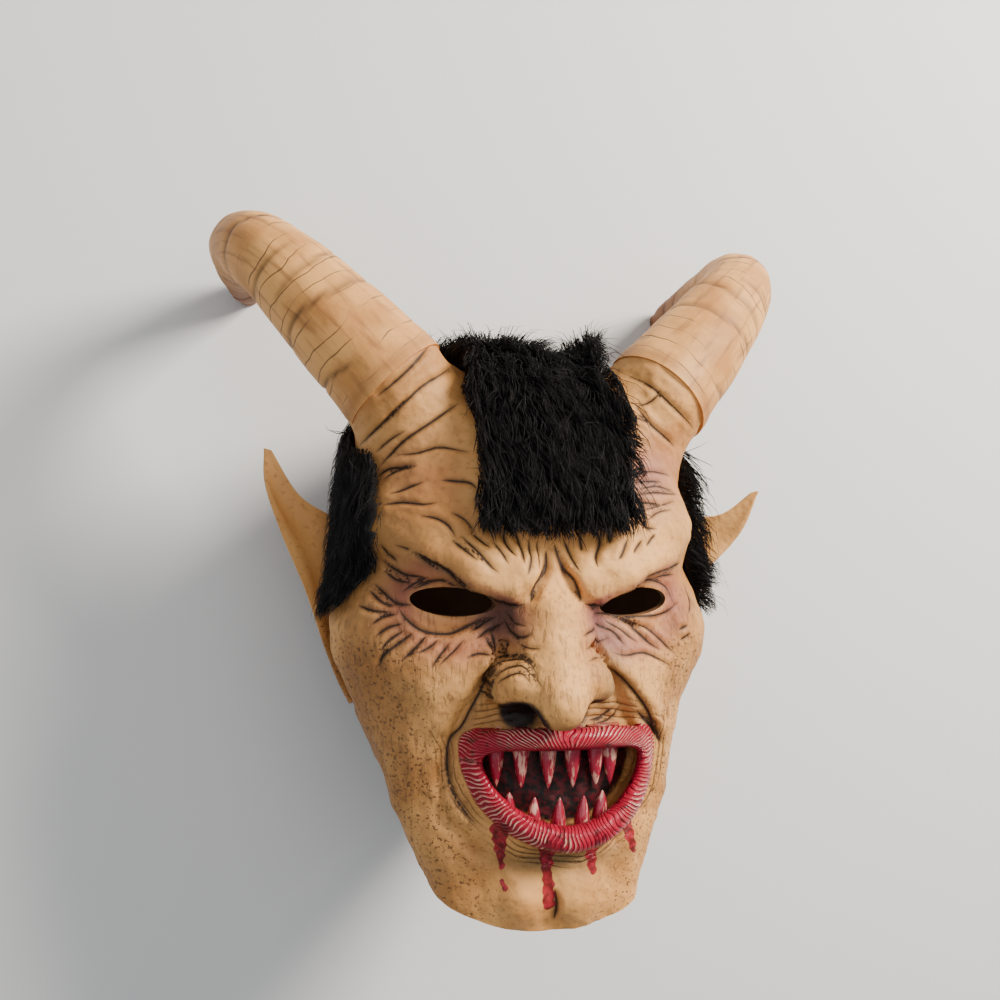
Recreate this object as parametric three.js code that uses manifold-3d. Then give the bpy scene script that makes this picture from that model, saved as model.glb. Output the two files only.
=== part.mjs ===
// A horned Krampus mask: a hollow latex casting with two horns, two pointed ears, a scowling face and
// an open mouth of fangs, and three panels of black fake fur glued over its crown, sides and back.
// It lies on the back of its head with the face looking up (+Z) and the crown towards +Y.
// The form is worked out in the mask's own frame, in millimetres: x runs across the face, y from the
// chin up to the crown, z out of the face, with y = 0 on the eye line and z = 0 on the ears' plane.
import * as THREE from "three";
import { mergeVertices } from "three/addons/utils/BufferGeometryUtils.js";
import Module from "manifold-3d";

// Driving dimensions
const WALL = 3.2; // thickness of the latex
const GAP = 0.6; // air between the latex and the fur that touches it
const CROWN_Y = 112; // top of the latex skull
const DOME_Y = 45; // above this height the skull closes as a dome
const RIM_Y = -150; // lowest edge of the casting, under the chin
const NAPE_Y = -110; // the edge at the back of the neck
const JAW_CORNER = 13; // how far the edge rises from the chin to the corners of the jaw
const JAW_SHIFT = 4; // how far the chin hangs to one side
const FLOOR_Z = -108; // plane that the mask lies on
const FUR_PILE = 14; // how far the fur stands off the latex
const SKIN_CELL = 3.8; // mesh size before thinning
const LINING_CELL = 7;
const FUR_CELL = 6;
const SKIN_TRIANGLES = 3100; // what each skin is thinned to
const LINING_TRIANGLES = 800;
const FUR_TRIANGLES = 450;
const SLIVER = 0.3; // edges shorter than this are drawn together at the end

// Small helpers for forms that are given by a signed distance
const clamp = (v, low, high) => Math.min(high, Math.max(low, v));
const mix = (a, b, t) => a + (b - a) * t;
const blendMin = (a, b, k) => {
  const h = Math.max(k - Math.abs(a - b), 0) / k;
  return Math.min(a, b) - (h * h * k) / 4;
};
const blendMax = (a, b, k) => -blendMin(-a, -b, k);

function ellipsoid(x, y, z, [cx, cy, cz], [rx, ry, rz]) {
  const [dx, dy, dz] = [x - cx, y - cy, z - cz];
  const near = Math.hypot(dx / rx, dy / ry, dz / rz);
  const slope = Math.hypot(dx / rx ** 2, dy / ry ** 2, dz / rz ** 2);
  return slope > 1e-9 ? (near * (near - 1)) / slope : -Math.min(rx, ry, rz);
}

// A round bar from a to b that tapers from radius ra to rb
function bar(x, y, z, a, ra, b, rb) {
  const [ux, uy, uz] = [b[0] - a[0], b[1] - a[1], b[2] - a[2]];
  const [px, py, pz] = [x - a[0], y - a[1], z - a[2]];
  const t = clamp((px * ux + py * uy + pz * uz) / (ux * ux + uy * uy + uz * uz), 0, 1);
  return Math.hypot(px - ux * t, py - uy * t, pz - uz * t) - mix(ra, rb, t);
}

// A roll of flesh through several points, each [x, y, z, radius]
function roll(x, y, z, points) {
  let best = Infinity;
  for (let i = 0; i + 1 < points.length; i += 1) {
    const [a, b] = [points[i], points[i + 1]];
    best = Math.min(best, bar(x, y, z, a, a[3], b, b[3]));
  }
  return best;
}

// A smooth value through rows of [height, value, value, ...], by cubic Hermite pieces
function through(rows, height, column) {
  const last = rows.length - 1;
  if (height <= rows[0][0]) return rows[0][column];
  if (height >= rows[last][0]) return rows[last][column];
  let i = 0;
  while (height > rows[i + 1][0]) i += 1;
  const slope = (j) => {
    const [a, b] = [rows[Math.max(j - 1, 0)], rows[Math.min(j + 1, last)]];
    return (b[column] - a[column]) / (b[0] - a[0]);
  };
  const [a, b] = [rows[i], rows[i + 1]];
  const span = b[0] - a[0];
  const t = (height - a[0]) / span;
  const [t2, t3] = [t * t, t * t * t];
  return (
    (2 * t3 - 3 * t2 + 1) * a[column] +
    (t3 - 2 * t2 + t) * span * slope(i) +
    (3 * t2 - 2 * t3) * b[column] +
    (t3 - t2) * span * slope(i + 1)
  );
}

// The skull: level sections that are flattened ellipses, closed above by a dome
const SKULL_ROWS = [
  // height, half width, where it is widest, front, back
  [-165, 44, 60, 66, -70],
  [-150, 46, 60, 71, -71],
  [-137, 49, 57, 74, -72],
  [-117, 55, 51, 76, -74],
  [-94, 63.5, 45, 75, -77],
  [-76, 71, 41, 74, -81],
  [-56, 79, 37, 73, -87],
  [-37, 84, 31, 72, -93],
  [-10, 86, 20, 73, -99],
  [15, 84.5, 12, 77, -101],
  [32, 82.5, 9, 77.5, -100],
  [DOME_Y, 82, 8, 77.5, -99],
];
const FRONT_POWER = 2.5; // how square the face is in section
const BACK_POWER = 2.05;

function skull(x, y, z) {
  const level = Math.min(y, DOME_Y);
  const [half, widest, front, back] = [1, 2, 3, 4].map((c) => through(SKULL_ROWS, level, c));
  const depth = z > widest ? front - widest : widest - back;
  const power = z > widest ? FRONT_POWER : BACK_POWER;
  const around = (Math.abs(x / half) ** power + Math.abs((z - widest) / depth) ** power) ** (1 / power);
  const over = Math.max(0, y - DOME_Y) / (CROWN_Y - DOME_Y);
  const share = Math.hypot(around, over);
  const reach = Math.hypot(x, y - level, z - widest);
  return share > 1e-6 ? reach - reach / share : -half;
}

// A horn's line starts at its crisp base ring, goes out and up, then back and a little down
const HORN_LINE = new THREE.CatmullRomCurve3(
  [
    [68, 101, 38],
    [98, 133, 27],
    [123, 160, 8],
    [134, 171, -20],
    [135, 170, -58],
    [129, 162, -108],
  ].map((p) => new THREE.Vector3(...p)),
  false,
  "centripetal",
);
const HORN_ROWS = [
  // share of the line, radius
  [0, 27.6],
  [0.2, 23.8],
  [0.4, 19.6],
  [0.58, 16.6],
  [0.78, 13],
  [0.93, 9.6],
  [0.985, 6.5],
];
const COLLAR = [
  [44, 70, 26, 30],
  [68, 101, 38, 26.7],
  [71, 104.5, 37, 26.3],
];

// Distance in a plane to a squared ellipse, negative inside
function flatOutline(x, y, half, tall, power) {
  const [u, v] = [Math.abs(x / half), Math.abs(y / tall)];
  const share = Math.max((u ** power + v ** power) ** (1 / power), 1e-3);
  const slope = share ** (1 - power) * Math.hypot(u ** (power - 1) / half, v ** (power - 1) / tall);
  return (share - 1) / Math.max(slope, 0.5 / Math.max(half, tall));
}

// The mouth is an outline in the face's plane, with a flat upper lip and a round lower one
const MOUTH = { x: 7.5, y: -72, half: 42, up: 12.5, down: 32, lift: 2, deep: 16 };
const mouthFront = (x) => 86 - 14 * Math.abs((x - MOUTH.x) / MOUTH.half) ** 2.2; // where the lips lie
function mouthOutline(x, y) {
  const dx = x - MOUTH.x;
  const dy = y - MOUTH.y - MOUTH.lift * (dx / MOUTH.half) ** 2;
  const [tall, power] = dy > 0 ? [MOUTH.up, 2.4] : [MOUTH.down, 1.85];
  return flatOutline(dx, dy, MOUTH.half, tall, power);
}

// The eye holes: ellipses, each in a lid that wraps an eyeball's round
const EYE = { x: 43, y: 0, half: 18.5, tall: 6.6, tilt: 0.06, ball: [43, -1, 43], radius: 25.5 };
function eyeOutline(ax, y) {
  const [dx, dy] = [ax - EYE.x, y - EYE.y];
  const u = dx * Math.cos(EYE.tilt) + dy * Math.sin(EYE.tilt);
  const v = dy * Math.cos(EYE.tilt) - dx * Math.sin(EYE.tilt);
  return flatOutline(u, v, EYE.half, EYE.tall, 2);
}

// Flesh added to the skull on each side of the face
const SOCKET_SLANT = 0.35; // the sockets rise towards the temples by this angle
const BROW = [
  [66, 33, 50, 12.5],
  [48, 25, 63, 13],
  [31, 16, 74, 12],
  [16, 12, 79, 10],
];
const CHEEK_FOLD = [
  [33, -25, 68, 9],
  [45, -46, 62, 11],
  [54, -68, 54, 12],
  [55, -90, 50, 11],
  [47, -112, 52, 9],
];
const CREASE = [[20, -19], [27, -30], [37, -46], [45, -62], [48, -78], [45, -96], [34, -110]];
const CREASE_DEEP = 3;
const CREASE_WIDE = 4.2;

// Distance from a point to a line of points, in the face's plane
function lineDistance(x, y, points) {
  let best = Infinity;
  for (let i = 0; i + 1 < points.length; i += 1) {
    const [[ax, ay], [bx, by]] = [points[i], points[i + 1]];
    const [ux, uy] = [bx - ax, by - ay];
    const t = clamp(((x - ax) * ux + (y - ay) * uy) / (ux * ux + uy * uy), 0, 1);
    best = Math.min(best, Math.hypot(x - ax - ux * t, y - ay - uy * t));
  }
  return best;
}
const jawShift = (y) => JAW_SHIFT * clamp((-60 - y) / 80, 0, 1);
const LIP = 5; // radius of the lips' roll

// The plain form of the head, which the fur follows
function plainHead(x, y, z) {
  const ax = Math.abs(x);
  let f = skull(x, y, z);
  f = blendMin(f, ellipsoid(ax, y, z, [64, -17, 36], [28, 27, 30]), 14); // cheekbones
  f = blendMin(f, ellipsoid(ax, y, z, [43, -34, 53], [25, 20, 23]), 12); // apples of the cheeks
  f = blendMin(f, ellipsoid(x, y, z, [0, -84, 42], [50, 44, 43]), 12); // muzzle
  f = blendMin(f, ellipsoid(ax, y, z, [13, -133, 61], [16.5, 18, 17.5]), 6); // cleft chin
  return f;
}

// The same with the collars of the horns: the lining follows this
function headForm(x, y, z) {
  return blendMin(plainHead(x, y, z), roll(Math.abs(x), y, z, COLLAR), 16);
}

// The outside of the latex head, without horns, ears and fangs
function headSkin(outerX, y, z) {
  const x = outerX - jawShift(y);
  const ax = Math.abs(x);
  let f = headForm(x, y, z);
  f = blendMin(f, ellipsoid(x, y, z, [0, 42, 50], [68, 27, 28.5]), 12); // forehead
  f = blendMin(f, roll(ax, y, z, BROW), 14);
  const [slant, rise] = [Math.cos(SOCKET_SLANT), Math.sin(SOCKET_SLANT)];
  const [outward, upward] = [(ax - 46) * slant + (y + 3) * rise, (y + 3) * slant - (ax - 46) * rise];
  f = blendMax(f, -ellipsoid(outward, upward, z, [0, 0, 88], [30, 13.5, 21]), 4.5); // eye sockets
  f = blendMin(f, ellipsoid(ax, y, z, EYE.ball, [EYE.radius, EYE.radius, EYE.radius]), 4);
  f = blendMin(f, roll(ax, y, z, CHEEK_FOLD), 10);
  f = blendMin(f, bar(x, y, z, [0, 24, 74], 4.5, [0, -4, 82], 9), 4); // root of the nose
  f = blendMin(f, bar(x, y, z, [0, -4, 82], 9, [0, -38, 95], 11.5), 6); // bridge
  f = blendMin(f, ellipsoid(ax, y, z, [8, -22, 78], [14, 22, 13]), 12); // its flanks
  f = blendMin(f, ellipsoid(x, y, z, [0, -41, 96], [11.5, 12, 12]), 6); // tip
  f = blendMin(f, ellipsoid(ax, y, z, [18, -33, 83], [12, 11, 14]), 10); // wings
  f = blendMax(f, -ellipsoid(ax, y, z, [14, -49.5, 89], [8, 7.5, 11]), 2.5); // nostrils
  f = blendMax(f, -bar(x, y, z, [-30, -115, 90], 5, [30, -115, 90], 5), 8); // fold over the chin
  const crease = Math.exp(-((lineDistance(ax, y, CREASE) / CREASE_WIDE) ** 2));
  f += CREASE_DEEP * crease * clamp((z - 30) / 10, 0, 1); // from the nose round the mouth
  const outline = mouthOutline(x, y);
  const forward = z - mouthFront(x);
  f = blendMax(f, -Math.max(outline + 1, -MOUTH.deep - forward), 3); // open mouth
  const lip = Math.hypot(outline, forward) - LIP - clamp((MOUTH.y - y) / 20, 0, 1);
  f = blendMin(f, lip, 3);
  const lid =
    Math.hypot(eyeOutline(ax, y) - 2.5, ellipsoid(ax, y, z, EYE.ball, [26, 26, 26])) - 2.6;
  return blendMin(f, lid, 2.5);
}

// How far a point is below the rim, which runs from the chin back along the jaw to the nape
const rimHeight = (x, z) =>
  mix(NAPE_Y, RIM_Y + JAW_CORNER * clamp(Math.abs(x) / 50, 0, 1.2) ** 2, clamp((z + 20) / 80, 0, 1) ** 1.3);

// The surface where a field is zero, through a box of cubic cells that are each cut into six
// tetrahedra, so that it always closes
const CELL_TETRAHEDRA = [[1, 3], [3, 2], [2, 6], [6, 4], [4, 5], [5, 1]].map((p) => [0, ...p, 7]);
const ONE_IN = [[0, 1, 2, 3], [1, 0, 3, 2], [2, 0, 1, 3], [3, 0, 2, 1]];
const TWO_IN = [[0, 1, 2, 3], [0, 2, 3, 1], [0, 3, 1, 2], [1, 2, 0, 3], [1, 3, 2, 0], [2, 3, 0, 1]];

function skinOf(field, low, high, cell) {
  const size = low.map((v, i) => Math.ceil((high[i] - v) / cell) + 1);
  const at = (i, j, k) => (k * size[1] + j) * size[0] + i;
  const value = new Float64Array(size[0] * size[1] * size[2]);
  for (let k = 0; k < size[2]; k += 1)
    for (let j = 0; j < size[1]; j += 1)
      for (let i = 0; i < size[0]; i += 1) {
        const v = field(low[0] + i * cell, low[1] + j * cell, low[2] + k * cell);
        value[at(i, j, k)] = v < 0 ? Math.min(v, -0.06 * cell) : Math.max(v, 0.06 * cell);
      }
  const positions = [];
  const faces = [];
  const made = new Map();
  const place = (n) => [
    low[0] + (n % size[0]) * cell,
    low[1] + (Math.floor(n / size[0]) % size[1]) * cell,
    low[2] + Math.floor(n / (size[0] * size[1])) * cell,
  ];
  const crossing = (a, b) => {
    const key = Math.min(a, b) * value.length + Math.max(a, b);
    if (!made.has(key)) {
      const t = value[a] / (value[a] - value[b]);
      const [p, q] = [place(a), place(b)];
      made.set(key, positions.length / 3);
      positions.push(mix(p[0], q[0], t), mix(p[1], q[1], t), mix(p[2], q[2], t));
    }
    return made.get(key);
  };
  for (let k = 0; k + 1 < size[2]; k += 1)
    for (let j = 0; j + 1 < size[1]; j += 1)
      for (let i = 0; i + 1 < size[0]; i += 1)
        for (const tetrahedron of CELL_TETRAHEDRA) {
          const n = tetrahedron.map((c) => at(i + (c & 1), j + ((c >> 1) & 1), k + (c >> 2)));
          const inside = n.map((m) => value[m] < 0);
          const count = inside.filter(Boolean).length;
          if (count === 0 || count === 4) continue;
          if (count === 2) {
            const order = TWO_IN.find(([a, b]) => inside[a] && inside[b]);
            const [a, b, c, d] = order.map((m) => n[m]);
            const quad = [crossing(a, c), crossing(a, d), crossing(b, d), crossing(b, c)];
            faces.push(quad[0], quad[1], quad[2], quad[0], quad[2], quad[3]);
            continue;
          }
          const order = ONE_IN.find(([a]) => inside[a] === (count === 1));
          const [a, b, c, d] = order.map((m) => n[m]);
          const [p, q, r] = [crossing(a, b), crossing(a, c), crossing(a, d)];
          faces.push(...(count === 1 ? [p, q, r] : [p, r, q]));
        }
  const step = 0.3; // the slope is measured over this much, and the points are moved onto the surface
  for (let n = 0; n < positions.length; n += 3)
    for (let pass = 0; pass < 2; pass += 1) {
      const [x, y, z] = [positions[n], positions[n + 1], positions[n + 2]];
      const here = field(x, y, z);
      const slope = [
        (field(x + step, y, z) - here) / step,
        (field(x, y + step, z) - here) / step,
        (field(x, y, z + step) - here) / step,
      ];
      const steep = slope[0] ** 2 + slope[1] ** 2 + slope[2] ** 2;
      const move = steep > 0.1 ? clamp(here / steep, -cell / 5, cell / 5) : 0;
      for (let axis = 0; axis < 3; axis += 1) positions[n + axis] -= move * slope[axis];
    }
  return { positions, faces };
}

// The same skin with every vertex moved outwards along its normal
function grown({ positions, faces }, by) {
  const normals = positions.map(() => 0);
  const corner = (i) => new THREE.Vector3(...positions.slice(3 * i, 3 * i + 3));
  for (let f = 0; f < faces.length; f += 3) {
    const [a, b, c] = [0, 1, 2].map((m) => corner(faces[f + m]));
    const normal = b.sub(a).cross(c.sub(a)).toArray();
    for (let m = 0; m < 3; m += 1)
      for (let axis = 0; axis < 3; axis += 1) normals[3 * faces[f + m] + axis] += normal[axis];
  }
  const moved = positions.map((v, n) => {
    const i = n - (n % 3);
    return v + (by * normals[n]) / (Math.hypot(normals[i], normals[i + 1], normals[i + 2]) || 1);
  });
  return { positions: moved, faces };
}

// Thins a closed skin: each vertex is drawn into a neighbour where that moves the surface least,
// in passes that allow more and more, until few enough triangles are left
function thinned({ positions, faces }, target, longest, most = 3) {
  const corner = (v) => [positions[3 * v], positions[3 * v + 1], positions[3 * v + 2]];
  const normal = (a, b, c) => {
    const [u, v] = [[b[0] - a[0], b[1] - a[1], b[2] - a[2]], [c[0] - a[0], c[1] - a[1], c[2] - a[2]]];
    return [u[1] * v[2] - u[2] * v[1], u[2] * v[0] - u[0] * v[2], u[0] * v[1] - u[1] * v[0]];
  };
  const triangles = [];
  const around = new Map();
  const planes = new Map();
  for (let f = 0; f < faces.length; f += 3) {
    const face = [faces[f], faces[f + 1], faces[f + 2]];
    triangles.push(face);
    const n = normal(...face.map(corner));
    const size = Math.hypot(...n) || 1;
    const unit = n.map((v) => v / size);
    const plane = [...unit, -unit.reduce((sum, v, m) => sum + v * corner(face[0])[m], 0)];
    for (const v of face) {
      if (!around.has(v)) [around.set(v, new Set()), planes.set(v, [])];
      around.get(v).add(face);
      planes.get(v).push(plane);
    }
  }
  const neighbours = (v) => {
    const found = new Set();
    for (const face of around.get(v)) for (const w of face) if (w !== v) found.add(w);
    return found;
  };
  const away = (v, p) => {
    let worst = 0;
    for (const plane of planes.get(v))
      worst = Math.max(worst, Math.abs(plane[0] * p[0] + plane[1] * p[1] + plane[2] * p[2] + plane[3]));
    return worst;
  };
  const turns = (drop, keep) => {
    for (const face of around.get(drop)) {
      if (face.includes(keep)) continue;
      const before = normal(...face.map(corner));
      const after = normal(...face.map((v) => corner(v === drop ? keep : v)));
      const dot = before[0] * after[0] + before[1] * after[1] + before[2] * after[2];
      if (dot < 0.6 * Math.hypot(...before) * Math.hypot(...after)) return true;
    }
    return false;
  };
  let left = triangles.length;
  for (let slack = 0.02; left > target && slack < most; slack *= 1.35)
    for (const face of triangles)
      for (let m = 0; m < 3 && face.length && left > target; m += 1) {
        const [keep, drop] = [face[m], face[(m + 1) % 3]];
        const [a, b] = [corner(keep), corner(drop)];
        const length = Math.hypot(a[0] - b[0], a[1] - b[1], a[2] - b[2]);
        if (length > longest || (length > SLIVER && away(drop, a) + 0.01 * length > slack)) continue;
        const ring = neighbours(drop);
        let shared = 0;
        for (const v of neighbours(keep)) if (ring.has(v)) shared += 1;
        if (shared !== 2 || (length > 1e-4 && turns(drop, keep))) continue;
        for (const other of around.get(drop)) {
          if (other.includes(keep)) {
            for (const v of other) if (v !== drop) around.get(v).delete(other);
            other.length = 0;
            left -= 1;
          } else {
            other[other.indexOf(drop)] = keep;
            around.get(keep).add(other);
          }
        }
        planes.set(keep, [...new Set([...planes.get(keep), ...planes.get(drop)])]);
        around.delete(drop);
      }
  const order = new Map([...around.keys()].map((v, i) => [v, i]));
  return {
    positions: [...order.keys()].flatMap(corner),
    faces: triangles.flat().map((v) => order.get(v)),
  };
}

// A closed skin over rings that all have the same number of points, with flat ends
function loft(rings) {
  const n = rings[0].length;
  const positions = rings.flat().flatMap((p) => [p.x, p.y, p.z]);
  const faces = [];
  for (let r = 0; r + 1 < rings.length; r += 1)
    for (let i = 0; i < n; i += 1) {
      const [a, b] = [r * n + i, r * n + ((i + 1) % n)];
      faces.push(a, b, b + n, a, b + n, a + n);
    }
  for (const [r, turn] of [[0, true], [rings.length - 1, false]]) {
    const centre = positions.length / 3;
    const middle = rings[r].reduce((s, p) => s.add(p), new THREE.Vector3()).divideScalar(n);
    positions.push(middle.x, middle.y, middle.z);
    for (let i = 0; i < n; i += 1) {
      const [a, b] = [r * n + i, r * n + ((i + 1) % n)];
      faces.push(...(turn ? [b, a, centre] : [a, b, centre]));
    }
  }
  return { positions, faces };
}

const wasm = await Module();
wasm.setup();

const solid = ({ positions, faces }) => {
  const made = new wasm.Manifold(
    new wasm.Mesh({
      numProp: 3,
      vertProperties: new Float32Array(positions),
      triVerts: new Uint32Array(faces),
    }),
  );
  if (made.volume() > 0) return made;
  const turned = faces.slice();
  for (let i = 0; i < turned.length; i += 3)
    [turned[i + 1], turned[i + 2]] = [turned[i + 2], turned[i + 1]];
  return solid({ positions, faces: turned });
};

function fromGeometry(geometry) {
  const bare = new THREE.BufferGeometry();
  bare.setAttribute("position", geometry.getAttribute("position"));
  if (geometry.index) bare.setIndex(geometry.index);
  const merged = mergeVertices(bare, 1e-4);
  return solid({ positions: merged.attributes.position.array, faces: [...merged.index.array] });
}

const mirrored = (mesh) => ({
  positions: mesh.positions.map((v, i) => (i % 3 ? v : -v)),
  faces: mesh.faces,
});

// Horns
function hornMesh(shrink, start, end, sides, stations) {
  const rings = [];
  for (let s = 0; s <= stations; s += 1) {
    const t = mix(start, end, s / stations);
    const middle = HORN_LINE.getPointAt(Math.max(t, 0));
    const along = HORN_LINE.getTangentAt(Math.max(t, 0));
    if (t < 0) middle.addScaledVector(along, t * HORN_LINE.getLength());
    const across = new THREE.Vector3(0.45, -0.45, 0.77);
    across.addScaledVector(along, -across.dot(along)).normalize();
    const side = along.clone().cross(across);
    const radius = through(HORN_ROWS, t, 1) - shrink;
    rings.push(
      Array.from({ length: sides }, (_, i) => {
        const a = (2 * Math.PI * i) / sides;
        return middle
          .clone()
          .addScaledVector(across, radius * Math.cos(a))
          .addScaledVector(side, radius * Math.sin(a));
      }),
    );
  }
  const centre = HORN_LINE.getPointAt(end);
  const ahead = HORN_LINE.getTangentAt(end).multiplyScalar(3);
  const tip = rings[rings.length - 1];
  rings.push(tip.map((p) => p.clone().sub(centre).multiplyScalar(0.55).add(centre).add(ahead)));
  return loft(rings);
}

// Ears: thin cupped leaves. Each row runs from the edge on the head to the free outer edge
const EAR_THICK = 3.6;
const LEFT_EAR = [
  // on the head, outer edge, depth of the cup
  [[-70, -57, -10], [-78, -58, -5], 0.5],
  [[-70, -45, -13], [-83, -49, -8], 2],
  [[-72, -28, -17], [-90, -32, -12], 4],
  [[-74, 0, -22], [-100, -3, -20], 7],
  [[-76, 27, -26], [-113, 28, -30], 8],
  [[-102, 45, -36], [-121, 53, -38], 3],
  [[-117.5, 69, -40], [-121.5, 70, -40], 0.3],
];
const RIGHT_EAR = [
  [[70, -57, -10], [80, -58, -5], 0.5],
  [[70, -44, -13], [84, -46, -8], 2],
  [[72, -24, -17], [93, -28, -12], 4],
  [[75, 4, -22], [110, -4, -16], 7],
  [[77, 30, -24], [125, 13, -14], 8],
  [[110, 38, -18], [135, 24, -12], 4],
  [[129, 41, -13], [141, 35, -8], 2],
  [[143, 53, -6], [147, 54, -5], 0.3],
];
function earMesh(rows, grow) {
  const curve = (column) =>
    new THREE.CatmullRomCurve3(
      rows.map((row) => new THREE.Vector3(...row[column])),
      false,
      "centripetal",
    );
  const [inner, outer] = [curve(0), curve(1)];
  const columns = 6;
  const last = rows.length - 1;
  const rings = [];
  for (let r = 0; r <= 12; r += 1) {
    const t = r / 12;
    const [a, b] = [inner.getPoint(t), outer.getPoint(t)];
    const low = Math.floor(Math.min(t * last, last - 1));
    const cup = mix(rows[low][2], rows[low + 1][2], t * last - low);
    const along = outer.getTangent(t);
    const face = b.clone().sub(a).cross(along).normalize();
    if (face.z < 0) face.negate();
    const margin = grow / a.distanceTo(b);
    const place = (s, lift) =>
      a
        .clone()
        .lerp(b, s + margin * (2 * s - 1))
        .addScaledVector(face, -4 * cup * s * (1 - s) + lift * (EAR_THICK / 2 + grow));
    const ring = [];
    for (let i = 0; i <= columns; i += 1) ring.push(place(i / columns, 1));
    for (let i = columns; i >= 0; i -= 1) ring.push(place(i / columns, -1));
    rings.push(ring);
  }
  return loft(rings);
}

// Fangs: two rows of round-based cones that stand on the gums, the upper ones longer
const FANG_ROWS = [[0, 1], [0.45, 0.93], [0.78, 0.5], [1, 0.12]]; // share of the length, of the radius
const FANG_ROOT = 4; // how far a root goes into the gum
function fang(x, root, tip, radius) {
  const depth = mouthFront(x - jawShift(tip)) - MOUTH.deep / 2;
  const rings = FANG_ROWS.map(([along, wide]) =>
    Array.from({ length: 6 }, (_, i) => {
      const a = (Math.PI * i) / 3;
      const y = mix(root, tip, along);
      return new THREE.Vector3(x + radius * wide * Math.cos(a), y, depth + radius * wide * Math.sin(a));
    }),
  );
  return solid(loft(rings));
}
const UPPER_FANGS = [-21.5, -11, 1, 12.5, 24, 31.5];
const UPPER_ROOT = MOUTH.y + MOUTH.up + FANG_ROOT;
const LOWER_FANGS = [-16, -5, 6.5, 18, 27.5];
const LOWER_ROOT = MOUTH.y - MOUTH.down - FANG_ROOT;
const LOWER_CURVE = 0.013; // the lower gum rises towards the corners by this much times x squared

// A block between two corners, to cut with
const blockBetween = (low, high) =>
  fromGeometry(
    new THREE.BoxGeometry(...high.map((v, i) => v - low[i])).translate(
      ...high.map((v, i) => (v + low[i]) / 2),
    ),
  );

const REACH = { low: [-120, -178, -125], high: [120, 144, 128] };

// The outside of the head's skin, down to a little below the rim
const headMesh = thinned(
  skinOf((x, y, z) => Math.max(headSkin(x, y, z), RIM_Y - 12 - y), REACH.low, REACH.high, SKIN_CELL),
  SKIN_TRIANGLES,
  30,
);

// The whole outside of the latex as one closed solid, grown outwards by a margin
function latexOutside(grow) {
  let whole = solid(grown(headMesh, grow));
  const horn = hornMesh(-grow, -0.02, 0.985, 14, 14);
  for (const mesh of [horn, mirrored(horn)]) whole = whole.add(solid(mesh));
  for (const rows of [LEFT_EAR, RIGHT_EAR]) whole = whole.add(solid(earMesh(rows, grow)));
  return whole;
}

// Everything below the rim, as a solid with a curved top
function rimCutter() {
  const top = new THREE.PlaneGeometry(260, 400, 16, 24);
  const at = top.getAttribute("position");
  const box = { positions: [], faces: [] };
  const count = at.count;
  for (const lower of [false, true])
    for (let i = 0; i < count; i += 1) {
      const [x, z] = [at.getX(i), at.getY(i)];
      box.positions.push(x, lower ? RIM_Y - 80 : rimHeight(x - 2 * JAW_SHIFT, z), z);
    }
  const faces = [...top.index.array];
  for (let i = 0; i < faces.length; i += 3) {
    const [a, b, c] = faces.slice(i, i + 3);
    box.faces.push(a, c, b, a + count, b + count, c + count);
  }
  const [wide, deep] = [17, 25];
  const border = [];
  for (let i = 0; i < wide; i += 1) border.push(i);
  for (let j = 1; j < deep; j += 1) border.push(j * wide + wide - 1);
  for (let i = wide - 2; i >= 0; i -= 1) border.push((deep - 1) * wide + i);
  for (let j = deep - 2; j > 0; j -= 1) border.push(j * wide);
  border.forEach((a, n) => {
    const b = border[(n + 1) % border.length];
    box.faces.push(b, a, a + count, b, a + count, b + count);
  });
  return solid(box);
}

// The hollow: a head's room, the insides of the horns, and the eye holes
function hollow() {
  const lining = (outerX, y, z) => {
    const x = outerX - jawShift(y);
    const deep = mouthFront(x) - MOUTH.deep - WALL - 2; // the mouth's floor, from behind
    const recess = Math.max(mouthOutline(x, y) - 3, deep - z);
    return Math.max(blendMax(headForm(x, y, z) + WALL + 1, -recess, 3), RIM_Y - 40 - y);
  };
  const room = skinOf(
    lining,
    [REACH.low[0], RIM_Y - 60, REACH.low[2]],
    REACH.high,
    LINING_CELL,
  );
  let inside = solid(thinned(room, LINING_TRIANGLES, 40));
  const bore = hornMesh(WALL, -0.01, 0.9, 8, 9);
  for (const mesh of [bore, mirrored(bore)]) inside = inside.add(solid(mesh));
  for (const side of [-1, 1]) {
    const sight = new THREE.CylinderGeometry(1, 1, 60, 16, 1);
    sight.rotateX(Math.PI / 2).scale(EYE.half, EYE.tall, 1).rotateZ(side * EYE.tilt);
    sight.translate(side * EYE.x, EYE.y, 70);
    inside = inside.add(fromGeometry(sight));
  }
  return inside;
}

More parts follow.
